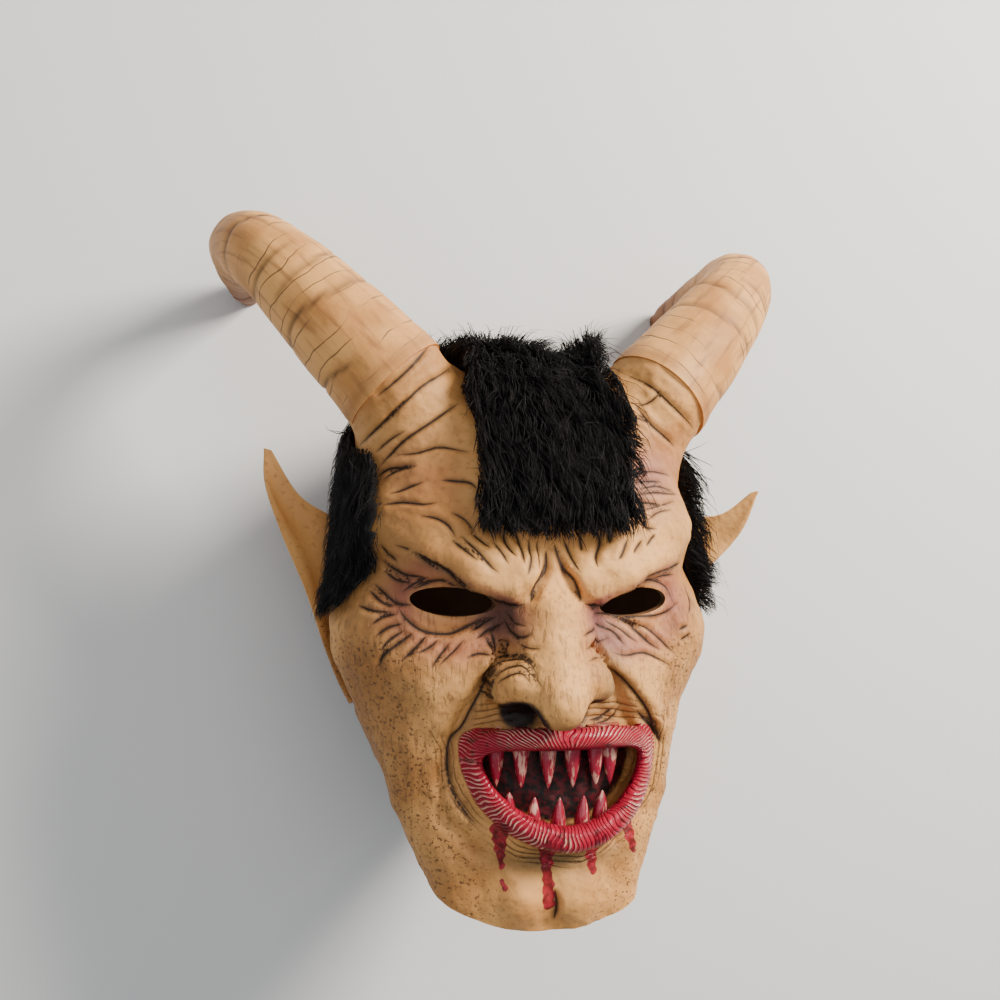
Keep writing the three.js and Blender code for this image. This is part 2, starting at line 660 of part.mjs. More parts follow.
// Where each panel of fur lies, as a signed distance that is negative inside
const boxIn = (u, v, [u0, u1], [v0, v1]) =>
  Math.max(u0 - u, u - u1, v0 - v, v - v1);
const SEAM_X = 45; // the crown's strip meets the side panels here, behind the horns
const FRONT_X = 40; // half the strip's width over the forehead
const FRINGE_Y = 33; // the edge that hangs on the brow
const NAPE_FUR_Y = -106; // the lowest fur
const TEMPLE = { left: 51, right: 45, low: -8, back: -70, middle: 30, round: 0.004 };
const EAR_HOLE = { z: -24, y: -20, wide: 20, tall: 44 };
function crownPanel(x, y, z) {
  const half = mix(SEAM_X, FRONT_X, clamp((z - 20) / 40, 0, 1));
  const fringe = FRINGE_Y + 0.002 * x * x - y;
  return Math.max(Math.abs(x) - half + GAP / 2, z > 0 ? fringe : -1000, NAPE_FUR_Y - 2 - y);
}
function sidePanel(x, y, z) {
  const front = (x < 0 ? TEMPLE.left : TEMPLE.right) - TEMPLE.round * (y - TEMPLE.middle) ** 2;
  const temple = boxIn(z, y, [TEMPLE.back, front], [TEMPLE.low, REACH.high[1]]);
  const nape = boxIn(z, y, [-160, -46], [NAPE_FUR_Y, REACH.high[1]]);
  const ear = Math.hypot((z - EAR_HOLE.z) / EAR_HOLE.wide, (y - EAR_HOLE.y) / EAR_HOLE.tall) - 1;
  const around = Math.max(Math.min(temple, nape), -ear * EAR_HOLE.wide);
  return Math.max(around, SEAM_X + GAP / 2 - Math.abs(x));
}

function furPanel(region, pileAt, sideSign, mask) {
  const pile = (x, y, z) => {
    const side = sideSign ? -sideSign * x : -1;
    return blendMax(plainHead(x, y, z) - pileAt(x, y), Math.max(region(x, y, z), side), 9);
  };
  const low = sideSign > 0 ? [20, REACH.low[1], REACH.low[2]] : REACH.low;
  const high = sideSign < 0 ? [-20, REACH.high[1], REACH.high[2]] : REACH.high;
  return solid(thinned(skinOf(pile, low, high, FUR_CELL), FUR_TRIANGLES, 40)).subtract(mask);
}

// Putting it together
const outside = latexOutside(0);
const rim = rimCutter();
const underFloor = blockBetween([-400, -400, -400], [400, 400, FLOOR_Z]);
let casting = outside.subtract(rim).subtract(hollow()).subtract(underFloor);
for (const x of UPPER_FANGS) casting = casting.add(fang(x, UPPER_ROOT, -83, 4.5));
for (const x of LOWER_FANGS) {
  const rise = LOWER_CURVE * (x - MOUTH.x) ** 2;
  casting = casting.add(fang(x, LOWER_ROOT + rise, -87 + rise / 3, 4));
}

const keepClear = latexOutside(GAP);
const biggest = (made) =>
  made.decompose().reduce((a, b) => (b.volume() > a.volume() ? b : a));
const crownPile = (x, y) => FUR_PILE + 9 * (x / 42) ** 2 * clamp((y - 60) / 40, 0, 1);
const sidePile = (x) => (x < 0 ? FUR_PILE - 4 : FUR_PILE - 1);
const crownFur = biggest(furPanel(crownPanel, crownPile, 0, keepClear).subtract(underFloor));
const sideFur = [-1, 1].map((s) =>
  biggest(furPanel(sidePanel, sidePile, s, keepClear).subtract(underFloor)),
);

// Finishes
const latex = new THREE.MeshStandardMaterial({ color: 0xc99a66, roughness: 0.6, metalness: 0 });
const fur = new THREE.MeshStandardMaterial({ color: 0x0c0a0b, roughness: 0.95, metalness: 0 });

function meshOf(name, made, material) {
  const { vertProperties, triVerts } = made.getMesh();
  const cut = { positions: vertProperties, faces: triVerts };
  const { positions, faces } = thinned(cut, 0, 20, 0.12);
  const geometry = new THREE.BufferGeometry();
  geometry.setAttribute("position", new THREE.BufferAttribute(new Float32Array(positions), 3));
  geometry.setIndex(new THREE.BufferAttribute(new Uint32Array(faces), 1));
  geometry.computeVertexNormals();
  const mesh = new THREE.Mesh(geometry, material);
  mesh.name = name;
  return mesh;
}

const mask = new THREE.Group();
mask.add(meshOf("latex_mask", biggest(casting), latex));
mask.add(meshOf("fur_crown_strip", crownFur, fur));
mask.add(meshOf("fur_side_left", sideFur[0], fur));
mask.add(meshOf("fur_side_right", sideFur[1], fur));

// The origin is under the middle of the mask, on the plane that it lies on
const box = new THREE.Box3().setFromObject(mask);
mask.position.set(0, -(box.min.y + box.max.y) / 2, -FLOOR_Z);

export default mask;
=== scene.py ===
# %% [markdown]
# A horned folklore mask, lying on its back with the face looking up.
# The mask is a hollow latex casting that was painted by hand: tan skin, brown wash in the wrinkles,
# red lips and fangs. Three panels of black fake fur are glued over its crown, sides and back.
# The looks are built in the frame of the imported solids, so the first step is to load them and bake
# their placement into their vertices.

# %% Load the imported solids
import math

import bpy
import numpy as np
from mathutils import Matrix, Vector


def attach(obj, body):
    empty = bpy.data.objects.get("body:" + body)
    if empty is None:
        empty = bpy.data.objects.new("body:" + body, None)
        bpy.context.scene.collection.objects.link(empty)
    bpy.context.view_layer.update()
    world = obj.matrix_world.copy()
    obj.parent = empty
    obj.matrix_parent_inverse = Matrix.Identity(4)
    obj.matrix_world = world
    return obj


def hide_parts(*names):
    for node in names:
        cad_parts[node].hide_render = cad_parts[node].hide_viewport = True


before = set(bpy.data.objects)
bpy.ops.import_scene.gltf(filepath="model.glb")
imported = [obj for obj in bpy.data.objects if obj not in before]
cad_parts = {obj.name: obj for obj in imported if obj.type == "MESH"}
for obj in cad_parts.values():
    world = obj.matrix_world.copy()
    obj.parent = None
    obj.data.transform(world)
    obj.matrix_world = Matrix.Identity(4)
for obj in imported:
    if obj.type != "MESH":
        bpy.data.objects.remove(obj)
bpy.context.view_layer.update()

# %% [markdown]
# The mask is worked out in its own frame, in millimetres: x across the face, y from the chin up to the
# crown, z out of the face, with y = 0 on the eye line. The lowest plane that the mask rests on is
# z = -108 there. Blender wants metres in the frame of the solids, so one function turns places round.
# The eye line lies 18.99 mm from the solids' origin, towards the chin, so one fixed shift does both.

# %% The mask's own frame
MM = 0.001
FLOOR_Z = -108.0
RIM_Y = -150.0
DOME_Y, CROWN_Y, NAPE_Y = 45.0, 112.0, -110.0
WALL = 3.2
EYE_LINE_Y = -18.99
SHIFT = np.array([0.0, EYE_LINE_Y, -FLOOR_Z])


def to_frame(points):
    """Places in the mask's own millimetres, as metres in the frame of the solids."""
    return (np.asarray(points, float) + SHIFT) * MM


def to_mask(points):
    return np.asarray(points, float) / MM - SHIFT


# %% [markdown]
# A face with folds, sockets and lips that flow into each other is hard to build from primitives. A
# sculptor would push clay about; in code the same is done with a signed distance: a formula that is
# negative inside the form and positive outside. Two forms are blended by a smooth minimum, and a
# hollow is cut by a smooth maximum. The solids were made in the same way, and differ in a few blends.

# %% Smooth blends and simple forms
def blend_min(a, b, k):
    h = np.maximum(k - np.abs(a - b), 0) / k
    return np.minimum(a, b) - h * h * k / 4


def blend_max(a, b, k):
    return -blend_min(-a, -b, k)


def smooth(value, start, end):
    """0 before start, 1 after end, and an even curve between them."""
    t = np.clip((value - start) / (end - start), 0, 1)
    return t * t * (3 - 2 * t)


def ellipsoid(x, y, z, centre, radii):
    dx, dy, dz = x - centre[0], y - centre[1], z - centre[2]
    rx, ry, rz = radii
    near = np.sqrt((dx / rx) ** 2 + (dy / ry) ** 2 + (dz / rz) ** 2)
    slope = np.sqrt((dx / rx**2) ** 2 + (dy / ry**2) ** 2 + (dz / rz**2) ** 2)
    return np.where(slope > 1e-9, near * (near - 1) / np.maximum(slope, 1e-9), -min(radii))


def bar(x, y, z, a, ra, b, rb):
    """A round bar from a to b that tapers from radius ra to rb."""
    ux, uy, uz = b[0] - a[0], b[1] - a[1], b[2] - a[2]
    px, py, pz = x - a[0], y - a[1], z - a[2]
    t = np.clip((px * ux + py * uy + pz * uz) / (ux * ux + uy * uy + uz * uz), 0, 1)
    return np.sqrt((px - ux * t) ** 2 + (py - uy * t) ** 2 + (pz - uz * t) ** 2) - ra - (rb - ra) * t


def roll(x, y, z, points):
    """A roll of flesh through points, each x, y, z, radius."""
    parts = [bar(x, y, z, a, a[3], b, b[3]) for a, b in zip(points, points[1:])]
    return np.minimum.reduce(parts)


def line_distance(x, y, points):
    """Distance to a line of points, in the face's plane."""
    best = np.full(np.shape(x), 1e9)
    for (ax, ay), (bx, by) in zip(points, points[1:]):
        ux, uy = bx - ax, by - ay
        t = np.clip(((x - ax) * ux + (y - ay) * uy) / (ux * ux + uy * uy), 0, 1)
        best = np.minimum(best, np.hypot(x - ax - ux * t, y - ay - uy * t))
    return best


def flat_outline(x, y, half, tall, power):
    """Distance in a plane to a squared ellipse, negative inside."""
    u, v = np.abs(x / half), np.abs(y / tall)
    share = np.maximum((u**power + v**power) ** (1 / power), 1e-3)
    slope = share ** (1 - power) * np.hypot(u ** (power - 1) / half, v ** (power - 1) / tall)
    return (share - 1) / np.maximum(slope, 0.5 / np.maximum(half, tall))


# %% [markdown]
# The skull comes first: level sections from jaw to brow, each a flattened ellipse with its own half
# width, widest place, front and back, with a dome over the top. A smooth cubic runs through the rows.

# %% The skull
SKULL_ROWS = np.array([
    # height, half width, where it is widest, front, back
    [-165, 44, 60, 66, -70],
    [-150, 46, 60, 71, -71],
    [-137, 49, 57, 74, -72],
    [-117, 55, 51, 76, -74],
    [-94, 63.5, 45, 75, -77],
    [-76, 71, 41, 74, -81],
    [-56, 79, 37, 73, -87],
    [-37, 84, 31, 72, -93],
    [-10, 86, 20, 73, -99],
    [15, 84.5, 12, 77, -101],
    [32, 82.5, 9, 77.5, -100],
    [DOME_Y, 82, 8, 77.5, -99],
])
FRONT_POWER, BACK_POWER = 2.5, 2.05


def through(rows, height, column):
    """A smooth value through rows that start with a height."""
    h, v = rows[:, 0], rows[:, column]
    slopes = np.empty(len(h))
    slopes[1:-1] = (v[2:] - v[:-2]) / (h[2:] - h[:-2])
    slopes[0] = (v[1] - v[0]) / (h[1] - h[0])
    slopes[-1] = (v[-1] - v[-2]) / (h[-1] - h[-2])
    q = np.clip(height, h[0], h[-1])
    i = np.clip(np.searchsorted(h, q, side="right") - 1, 0, len(h) - 2)
    span = h[i + 1] - h[i]
    t = (q - h[i]) / span
    t2, t3 = t * t, t * t * t
    start = (2 * t3 - 3 * t2 + 1) * v[i] + (t3 - 2 * t2 + t) * span * slopes[i]
    return start + (3 * t2 - 2 * t3) * v[i + 1] + (t3 - t2) * span * slopes[i + 1]


def skull(x, y, z):
    level = np.minimum(y, DOME_Y)
    half, widest, front, back = [through(SKULL_ROWS, level, column) for column in (1, 2, 3, 4)]
    forward = z > widest
    depth = np.where(forward, front - widest, widest - back)
    power = np.where(forward, FRONT_POWER, BACK_POWER)
    around = (np.abs(x / half) ** power + np.abs((z - widest) / depth) ** power) ** (1 / power)
    over = np.maximum(0, y - DOME_Y) / (CROWN_Y - DOME_Y)
    share = np.hypot(around, over)
    reach = np.sqrt(x**2 + (y - level) ** 2 + (z - widest) ** 2)
    return np.where(share > 1e-6, reach - reach / np.maximum(share, 1e-6), -half)


# %% [markdown]
# Flesh goes onto the skull: brows that roll down over the eyes, sockets under them, cheek folds, a
# long nose, a cleft chin, and collars that the horns grow out of. The mouth is a flat-topped outline
# with a round roll of lip along it, and each eye hole has a lid that wraps an eyeball's round.

# %% The face
JAW_SHIFT = 4.0
MOUTH = dict(x=7.5, y=-72.0, half=42.0, up=12.5, down=32.0, lift=2.0, deep=16.0)
LIP = 5.0
EYE = dict(x=43.0, y=0.0, half=18.5, tall=6.6, tilt=0.06, ball=[43, -1, 43], radius=25.5)
SOCKET_SLANT = 0.35
COLLAR = [[44, 70, 26, 30], [68, 101, 38, 26.7], [71, 104.5, 37, 26.3]]
BROW = [[66, 33, 50, 12.5], [48, 25, 63, 13], [31, 16, 74, 12], [16, 12, 79, 10]]
CHEEK_FOLD = [[33, -25, 68, 9], [45, -46, 62, 11], [54, -68, 54, 12], [55, -90, 50, 11], [47, -112, 52, 9]]
CREASE = [[20, -19], [27, -30], [37, -46], [45, -62], [48, -78], [45, -96], [34, -110]]


def jaw_shift(y):
    return JAW_SHIFT * np.clip((-60 - y) / 80, 0, 1)


def mouth_front(x):
    return 86 - 14 * np.abs((x - MOUTH["x"]) / MOUTH["half"]) ** 2.2


def mouth_outline(x, y):
    dx = x - MOUTH["x"]
    dy = y - MOUTH["y"] - MOUTH["lift"] * (dx / MOUTH["half"]) ** 2
    up = dy > 0
    tall = np.where(up, MOUTH["up"], MOUTH["down"])
    return flat_outline(dx, dy, MOUTH["half"], tall, np.where(up, 2.4, 1.85))


def eye_outline(ax, y):
    dx, dy = ax - EYE["x"], y - EYE["y"]
    c, s = math.cos(EYE["tilt"]), math.sin(EYE["tilt"])
    return flat_outline(dx * c + dy * s, dy * c - dx * s, EYE["half"], EYE["tall"], 2.0)


def slanted(across, up):
    """Directions along and over an eye socket, which rises towards the temple."""
    c, s = math.cos(SOCKET_SLANT), math.sin(SOCKET_SLANT)
    return across * c + up * s, up * c - across * s


def plain_head(x, y, z):
    ax = np.abs(x)
    f = skull(x, y, z)
    f = blend_min(f, ellipsoid(ax, y, z, [64, -17, 36], [28, 27, 30]), 14)  # cheekbones
    f = blend_min(f, ellipsoid(ax, y, z, [43, -34, 53], [25, 20, 23]), 12)  # apples of the cheeks
    f = blend_min(f, ellipsoid(x, y, z, [0, -84, 42], [50, 44, 43]), 12)  # muzzle
    return blend_min(f, ellipsoid(ax, y, z, [13, -133, 61], [16.5, 18, 17.5]), 6)  # cleft chin


def head_form(x, y, z):
    return blend_min(plain_head(x, y, z), roll(np.abs(x), y, z, COLLAR), 16)


def head_skin(outer_x, y, z):
    x = outer_x - jaw_shift(y)
    ax = np.abs(x)
    f = head_form(x, y, z)
    f = blend_min(f, ellipsoid(x, y, z, [0, 42, 50], [68, 27, 28.5]), 12)  # forehead
    f = blend_min(f, roll(ax, y, z, BROW), 14)
    outward, upward = slanted(ax - 46, y + 3)
    f = blend_max(f, -ellipsoid(outward, upward, z, [0, 0, 88], [30, 13.5, 21]), 3.5)  # eye sockets
    f = blend_min(f, ellipsoid(ax, y, z, EYE["ball"], [EYE["radius"]] * 3), 4)
    f = blend_min(f, roll(ax, y, z, CHEEK_FOLD), 10)
    f = blend_min(f, bar(x, y, z, [0, 24, 74], 4.5, [0, -4, 82], 9), 4)  # root of the nose
    f = blend_min(f, bar(x, y, z, [0, -4, 82], 9, [0, -38, 95], 11.5), 6)  # bridge
    f = blend_min(f, ellipsoid(ax, y, z, [8, -22, 78], [14, 22, 13]), 12)  # its flanks
    f = blend_min(f, ellipsoid(x, y, z, [0, -41, 96], [11.5, 12, 12]), 6)  # tip
    f = blend_min(f, ellipsoid(ax, y, z, [18, -33, 83], [12, 11, 14]), 10)  # wings
    f = blend_max(f, -ellipsoid(ax, y, z, [14, -49.5, 89], [8, 7.5, 11]), 2.5)  # nostrils
    f = blend_max(f, -bar(x, y, z, [-30, -115, 90], 5, [30, -115, 90], 5), 8)  # fold over the chin
    f = f + 3.2 * np.exp(-((line_distance(ax, y, CREASE) / 3.4) ** 2)) * smooth(z, 30, 40)
    outline = mouth_outline(x, y)
    forward = z - mouth_front(x)
    f = blend_max(f, -np.maximum(outline + 1, -MOUTH["deep"] - forward), 3)  # open mouth
    lip = np.hypot(outline, forward) - LIP - np.clip((MOUTH["y"] - y) / 20, 0, 1)
    f = blend_min(f, lip, 3)
    lid = np.hypot(eye_outline(ax, y) - 2.5, ellipsoid(ax, y, z, EYE["ball"], [26, 26, 26])) - 2.6
    return blend_min(f, lid, 2.5)


# %% [markdown]
# The formula has to become a mesh. A grid of cells is laid over it, first large ones to find where the
# skin runs and then small ones only there, and each small cell is cut into six tetrahedra. Where the
# skin crosses an edge of one, it gets a vertex. This way always gives a closed mesh, which the
# booleans below need. Afterwards every vertex slides to the middle of its neighbours and back onto the
# form a few times, so that the triangles become even.

# %% From a formula to a mesh
TETRAHEDRA = [[0, 1, 3, 7], [0, 3, 2, 7], [0, 2, 6, 7], [0, 6, 4, 7], [0, 4, 5, 7], [0, 5, 1, 7]]
ONE_IN = [[0, 1, 2, 3], [1, 0, 3, 2], [2, 0, 1, 3], [3, 0, 2, 1]]
TWO_IN = [[0, 1, 2, 3], [0, 2, 3, 1], [0, 3, 1, 2], [1, 2, 0, 3], [1, 3, 2, 0], [2, 3, 0, 1]]
BLOCK = 4  # small cells along the side of a large one
NEAR = 1.9  # a large cell is cut up when the skin is within this many of its sides
OFF_SKIN = 0.06  # no corner is nearer the skin than this share of a small cell
CORNER = np.array([[c & 1, (c >> 1) & 1, c >> 2] for c in range(8)])


def lattice(size):
    return np.stack(np.meshgrid(*[np.arange(n) for n in size], indexing="ij"), -1).reshape(-1, 3)


def surface_cells(field, low, high, cell):
    """The small cells that the surface runs through: their corners' numbers and values."""
    low, high = np.array(low, float), np.array(high, float)
    blocks = np.ceil((high - low) / (cell * BLOCK)).astype(int)
    places = lattice(blocks)
    middle = low + (places + 0.5) * cell * BLOCK
    near = np.abs(field(*middle.T)) < NEAR * cell * BLOCK
    starts = places[near] * BLOCK
    across = BLOCK + 1
    steps = lattice([across] * 3)
    grid = (starts[:, None] + steps[None]).astype(np.int64)
    points = low + grid * cell
    value = field(points[..., 0], points[..., 1], points[..., 2])
    value = np.where(value < 0, np.minimum(value, -OFF_SKIN * cell), np.maximum(value, OFF_SKIN * cell))
    count = blocks * BLOCK + 1
    number = (grid[..., 2] * count[1] + grid[..., 1]) * count[0] + grid[..., 0]
    cells = lattice([BLOCK] * 3)
    corners = cells[:, None] + CORNER[None]
    local = (corners[..., 0] * across + corners[..., 1]) * across + corners[..., 2]
    values = value[:, local].reshape(-1, 8)
    numbers = number[:, local].reshape(-1, 8)
    mixed = (values < 0).any(1) & (values > 0).any(1)
    return numbers[mixed], values[mixed], low, count


def grid_place(number, count):
    """The place of a numbered corner, counted in cells."""
    across, up = number % count[0], number // count[0] % count[1]
    return np.stack([across, up, number // (count[0] * count[1])], 1)


def skin_of(field, low, high, cell):
    """Vertices and triangles of the surface where the field is zero."""
    numbers, values, low, count = surface_cells(field, low, high, cell)
    edges = []  # each triangle's three crossed edges: numbers and values of both ends
    for tetrahedron in TETRAHEDRA:
        n, v = numbers[:, tetrahedron], values[:, tetrahedron]
        inside = v < 0
        total = inside.sum(1)
        for order in ONE_IN:
            for odd_inside in (True, False):
                rows = (total == (1 if odd_inside else 3)) & (inside[:, order[0]] == odd_inside)
                a, b, c, d = order
                ends = [(a, b), (a, c), (a, d)] if odd_inside else [(a, b), (a, d), (a, c)]
                edges.append([(n[rows, p], n[rows, q], v[rows, p], v[rows, q]) for p, q in ends])
        for a, b, c, d in TWO_IN:
            rows = (total == 2) & inside[:, a] & inside[:, b]
            for ends in ([(a, c), (a, d), (b, d)], [(a, c), (b, d), (b, c)]):
                edges.append([(n[rows, p], n[rows, q], v[rows, p], v[rows, q]) for p, q in ends])
    columns = [np.concatenate([np.stack([e[corner][part] for corner in range(3)], 1) for e in edges])
               for part in range(4)]
    first, second, value_first, value_second = [column.reshape(-1) for column in columns]
    swap = first > second
    low_end, high_end = np.where(swap, second, first), np.where(swap, first, second)
    value_low = np.where(swap, value_second, value_first)
    value_high = np.where(swap, value_first, value_second)
    key = low_end * int(np.prod(count)) + high_end
    _, chosen, faces = np.unique(key, return_index=True, return_inverse=True)

    t = (value_low[chosen] / (value_low[chosen] - value_high[chosen]))[:, None]
    ends = [low + cell * grid_place(end[chosen], count) for end in (low_end, high_end)]
    points = ends[0] * (1 - t) + ends[1] * t
    return points, faces.reshape(-1, 3)


def slope_of(field, points, step=0.3):
    here = field(*points.T)
    ahead = [field(*(points + step * axis).T) - here for axis in np.eye(3)]
    return here, np.stack(ahead, 1) / step


def onto(field, points, cell, passes=2):
    """Moves points along the slope onto the surface."""
    for _ in range(passes):
        here, slope = slope_of(field, points)
        steep = (slope**2).sum(1)
        move = np.where(steep > 0.1, np.clip(here / np.maximum(steep, 0.1), -cell / 4, cell / 4), 0)
        points = points - move[:, None] * slope
    return points


def evened(field, points, faces, cell, rounds=3):
    """Slides vertices along the surface towards the middle of their neighbours."""
    pairs = np.concatenate([faces[:, [0, 1]], faces[:, [1, 2]], faces[:, [2, 0]]])
    count = np.bincount(pairs[:, 0], minlength=len(points))[:, None]
    for _ in range(rounds):
        sums = [np.bincount(pairs[:, 0], points[pairs[:, 1], axis], len(points)) for axis in range(3)]
        middle = np.stack(sums, 1)
        points = onto(field, points + 0.55 * (middle / count - points), cell, 1)
    return onto(field, points, cell, 1)


def skin_mesh(field, low, high, cell):
    points, faces = skin_of(field, low, high, cell)
    return evened(field, onto(field, points, cell, 2), faces, cell), faces


# %% [markdown]
# Two small helpers turn such meshes into Blender objects and join or cut closed solids. A boolean
# modifier with the manifold solver is quick even on a hundred thousand triangles.

# %% Objects and booleans
def object_from(name, points, faces, materials=()):
    mesh = bpy.data.meshes.new(name)
    points = np.asarray(points, np.float32)
    faces = np.asarray(faces, np.int32)
    corners = faces.shape[1]
    mesh.vertices.add(len(points))
    mesh.loops.add(faces.size)
    mesh.polygons.add(len(faces))
    mesh.vertices.foreach_set("co", points.ravel())
    mesh.loops.foreach_set("vertex_index", faces.ravel())
    mesh.polygons.foreach_set("loop_start", np.arange(0, faces.size, corners, dtype=np.int32))
    mesh.update(calc_edges=True)
    for material in materials:
        mesh.materials.append(material)
    made = bpy.data.objects.new(name, mesh)
    bpy.context.scene.collection.objects.link(made)
    return made


def only(thing):
    bpy.ops.object.select_all(action="DESELECT")
    thing.select_set(True)
    bpy.context.view_layer.objects.active = thing


def combine(main, other, operation):
    """Joins another closed solid to the main one or cuts it out, and deletes it."""
    only(main)
    modifier = main.modifiers.new(operation.lower(), "BOOLEAN")
    modifier.operation = operation
    modifier.solver = "MANIFOLD"
    modifier.material_mode = "TRANSFER"
    modifier.object = other
    bpy.ops.object.modifier_apply(modifier=modifier.name)
    bpy.data.objects.remove(other)
    return main


def vertices_of(thing):
    places = np.empty(len(thing.data.vertices) * 3, np.float32)
    thing.data.vertices.foreach_get("co", places)
    return places.reshape(-1, 3).astype(float)


def set_vertices(thing, places):
    thing.data.vertices.foreach_set("co", np.asarray(places, np.float32).ravel())
    thing.data.update()


def triangle_count(thing):
    return sum(len(polygon.vertices) - 2 for polygon in thing.data.polygons)


# %% [markdown]
# Latex is pigmented right through and then painted, so the colours are those of a water-based paint
# with almost no shine, wiped so that dark brown stays in the wrinkles. The same browns also darken the
# wrinkles and hollows as painted shade, and lighter tan and a pale red are painted highlights. Blender's
# shaders want linear colours, so one function turns the sRGB hex values round. Another adds a node, and
# its inputs are values, hex colours or other nodes. Two sets of settings return often: a ramp, which is
# 0 before one value and 1 after another with an even curve between, and paint over paint, a Mix node
# whose socket 0 is the share, 6 the paint below and 7 the paint above.

# %% Colours and nodes
TAN_LIGHT, TAN, TAN_DARK = "f0b067", "cc8c4b", "925c35"
# Brown wiped into the wrinkles, also used for painted shade in wrinkles, hollows and nostrils.
WASH_AND_SHADE, DEEP_WASH_AND_SHADE = "4d3524", "22120c"
PINK, MAUVE, OLIVE = "b3694f", "86596a", "6a5838"
# The pale red is a painted highlight on the lips' ridges.
RED, RED_DARK, RED_PALE = "a81b33", "4c0712", "ecbba2"
GUM = "120808"
RAMP = dict(interpolation_type="SMOOTHSTEP")
PAINT_OVER = dict(out=2, data_type="RGBA", clamp_factor=True)


def colour(code):
    parts = [int(code[i:i + 2], 16) / 255 for i in (0, 2, 4)]
    return tuple(c / 12.92 if c <= 0.04045 else ((c + 0.055) / 1.055) ** 2.4 for c in parts) + (1,)


def add(tree, kind, inputs=(), out=0, **settings):
    """Adds a node with its settings and links, and returns it with its output that is used next."""
    node = tree.nodes.new("ShaderNode" + kind)
    for name, value in settings.items():
        setattr(node, name, value)
    for socket, value in dict(inputs).items():
        if isinstance(value, tuple) and isinstance(value[0], bpy.types.Node):
            tree.links.new(value[0].outputs[value[1]], node.inputs[socket])
        else:
            node.inputs[socket].default_value = colour(value) if isinstance(value, str) else value
    return node, out


def new_material(name):
    material = bpy.data.materials.new(name)
    material.use_nodes = True
    tree = material.node_tree
    tree.nodes.clear()
    return material, tree


print("paint colours:", TAN_LIGHT, TAN, TAN_DARK, WASH_AND_SHADE, RED)

# %% [markdown]
# Painted latex. The face's folds are in the mesh, and the brown in the wrinkles is drawn by the
# material, as sharp as the render allows; it is partly paint and partly painted shade. The material
# also paints shade under the folds, at the inner eye corners, down the left side and in the nostrils,
# and a painted highlight on the brows, nose, cheek apples, ears and lips. For a carved wrinkle the mesh
# carries how far off it is. For the fine lines beside the lips it carries a number that rises by one
# from each line to the next, so a line is where that number is whole. Pores are about 1.3 mm apart,
# too fine to show here, so they are drawn 2.2 times as coarse. The paint is nearly matt, roughness 0.6,
# and the wet-looking lips 0.3.

# %% Painted latex
PORE_MM, PORE_COARSER = 1.3, 2.2
PER_METRE = 1000.0
LATEX_MAPS = ["pale", "pink", "mauve", "olive", "streaked", "wash", "deep", "pitted", "line_side", "line_gap",
              "line_strength", "fine_number", "fine_strength", "lip_mm", "lip_number", "lip_crest", "mouth",
              "blood_mm"]


def skin_tones(tree, mapped, grain, blotch):
    """Tan in two tones, lighter tan as a painted highlight on raised forms, and the colours sprayed over it.
    """
    tone = add(tree, "MapRange", {"Value": blotch, "From Min": 0.36, "From Max": 0.66}, **RAMP)
    skin = add(tree, "Mix", {0: tone, 6: TAN, 7: TAN_LIGHT}, **PAINT_OVER)
    # Lighter tan on brows, nose, cheek apples and ears is a painted highlight; on the lids, their pale rim.
    skin = add(tree, "Mix", {0: mapped["pale"], 6: skin, 7: TAN_LIGHT}, **PAINT_OVER)
    speckle = add(tree, "MapRange", {"Value": grain, "From Min": 0.52, "From Max": 0.72}, **RAMP)
    speckle = add(tree, "Math", {0: speckle, 1: 0.35}, operation="MULTIPLY")
    skin = add(tree, "Mix", {0: speckle, 6: skin, 7: TAN_DARK}, **PAINT_OVER)
    for name, paint in (("pink", PINK), ("mauve", MAUVE), ("olive", OLIVE)):
        skin = add(tree, "Mix", {0: mapped[name], 6: skin, 7: paint}, **PAINT_OVER)
    return skin


def wrinkle_lines(tree, mapped, grain, wobble):
    """Where the brown lines run, and the paler brown beside the carved ones; at the folds' edges, painted
    shadow.
    """
    strength = mapped["line_strength"]
    apart = add(tree, "Math", {0: mapped["line_gap"], 1: 0.6}, operation="SUBTRACT")
    off = add(tree, "Math", {0: mapped["line_side"]}, operation="ABSOLUTE")
    off = add(tree, "Math", {0: off, 1: apart}, operation="MAXIMUM")
    off = add(tree, "Math", {0: off, 1: wobble}, operation="ADD")
    wider = add(tree, "Math", {0: strength, 1: 0.22}, operation="MULTIPLY")
    off = add(tree, "Math", {0: off, 1: wider}, operation="SUBTRACT")
    shown = add(tree, "Math", {0: strength, 1: 1.3}, operation="MULTIPLY", use_clamp=True)
    lines = add(tree, "MapRange", {"Value": off, "From Min": 0.34, "From Max": 0.1}, **RAMP)
    lines = add(tree, "Math", {0: lines, 1: shown}, operation="MULTIPLY", use_clamp=True)
    halo = add(tree, "MapRange", {"Value": off, "From Min": 1.7, "From Max": 0.0}, **RAMP)
    halo = add(tree, "Math", {0: halo, 1: shown}, operation="MULTIPLY")
    halo = add(tree, "Math", {0: halo, 1: 0.5}, operation="MULTIPLY", use_clamp=True)
    uneven = add(tree, "Math", {0: grain, 1: 0.2, 2: -0.1}, operation="MULTIPLY_ADD")
    fine = add(tree, "Math", {0: mapped["fine_number"], 1: 0.5}, operation="PINGPONG")
    fine = add(tree, "Math", {0: fine, 1: uneven}, operation="ADD")
    fine = add(tree, "MapRange", {"Value": fine, "From Min": 0.2, "From Max": 0.04}, **RAMP)
    fine = add(tree, "Math", {0: fine, 1: mapped["fine_strength"]}, operation="MULTIPLY", use_clamp=True)
    fine = add(tree, "Math", {0: fine, 1: 0.75}, operation="MULTIPLY")
    return add(tree, "Math", {0: lines, 1: fine}, operation="MAXIMUM"), halo


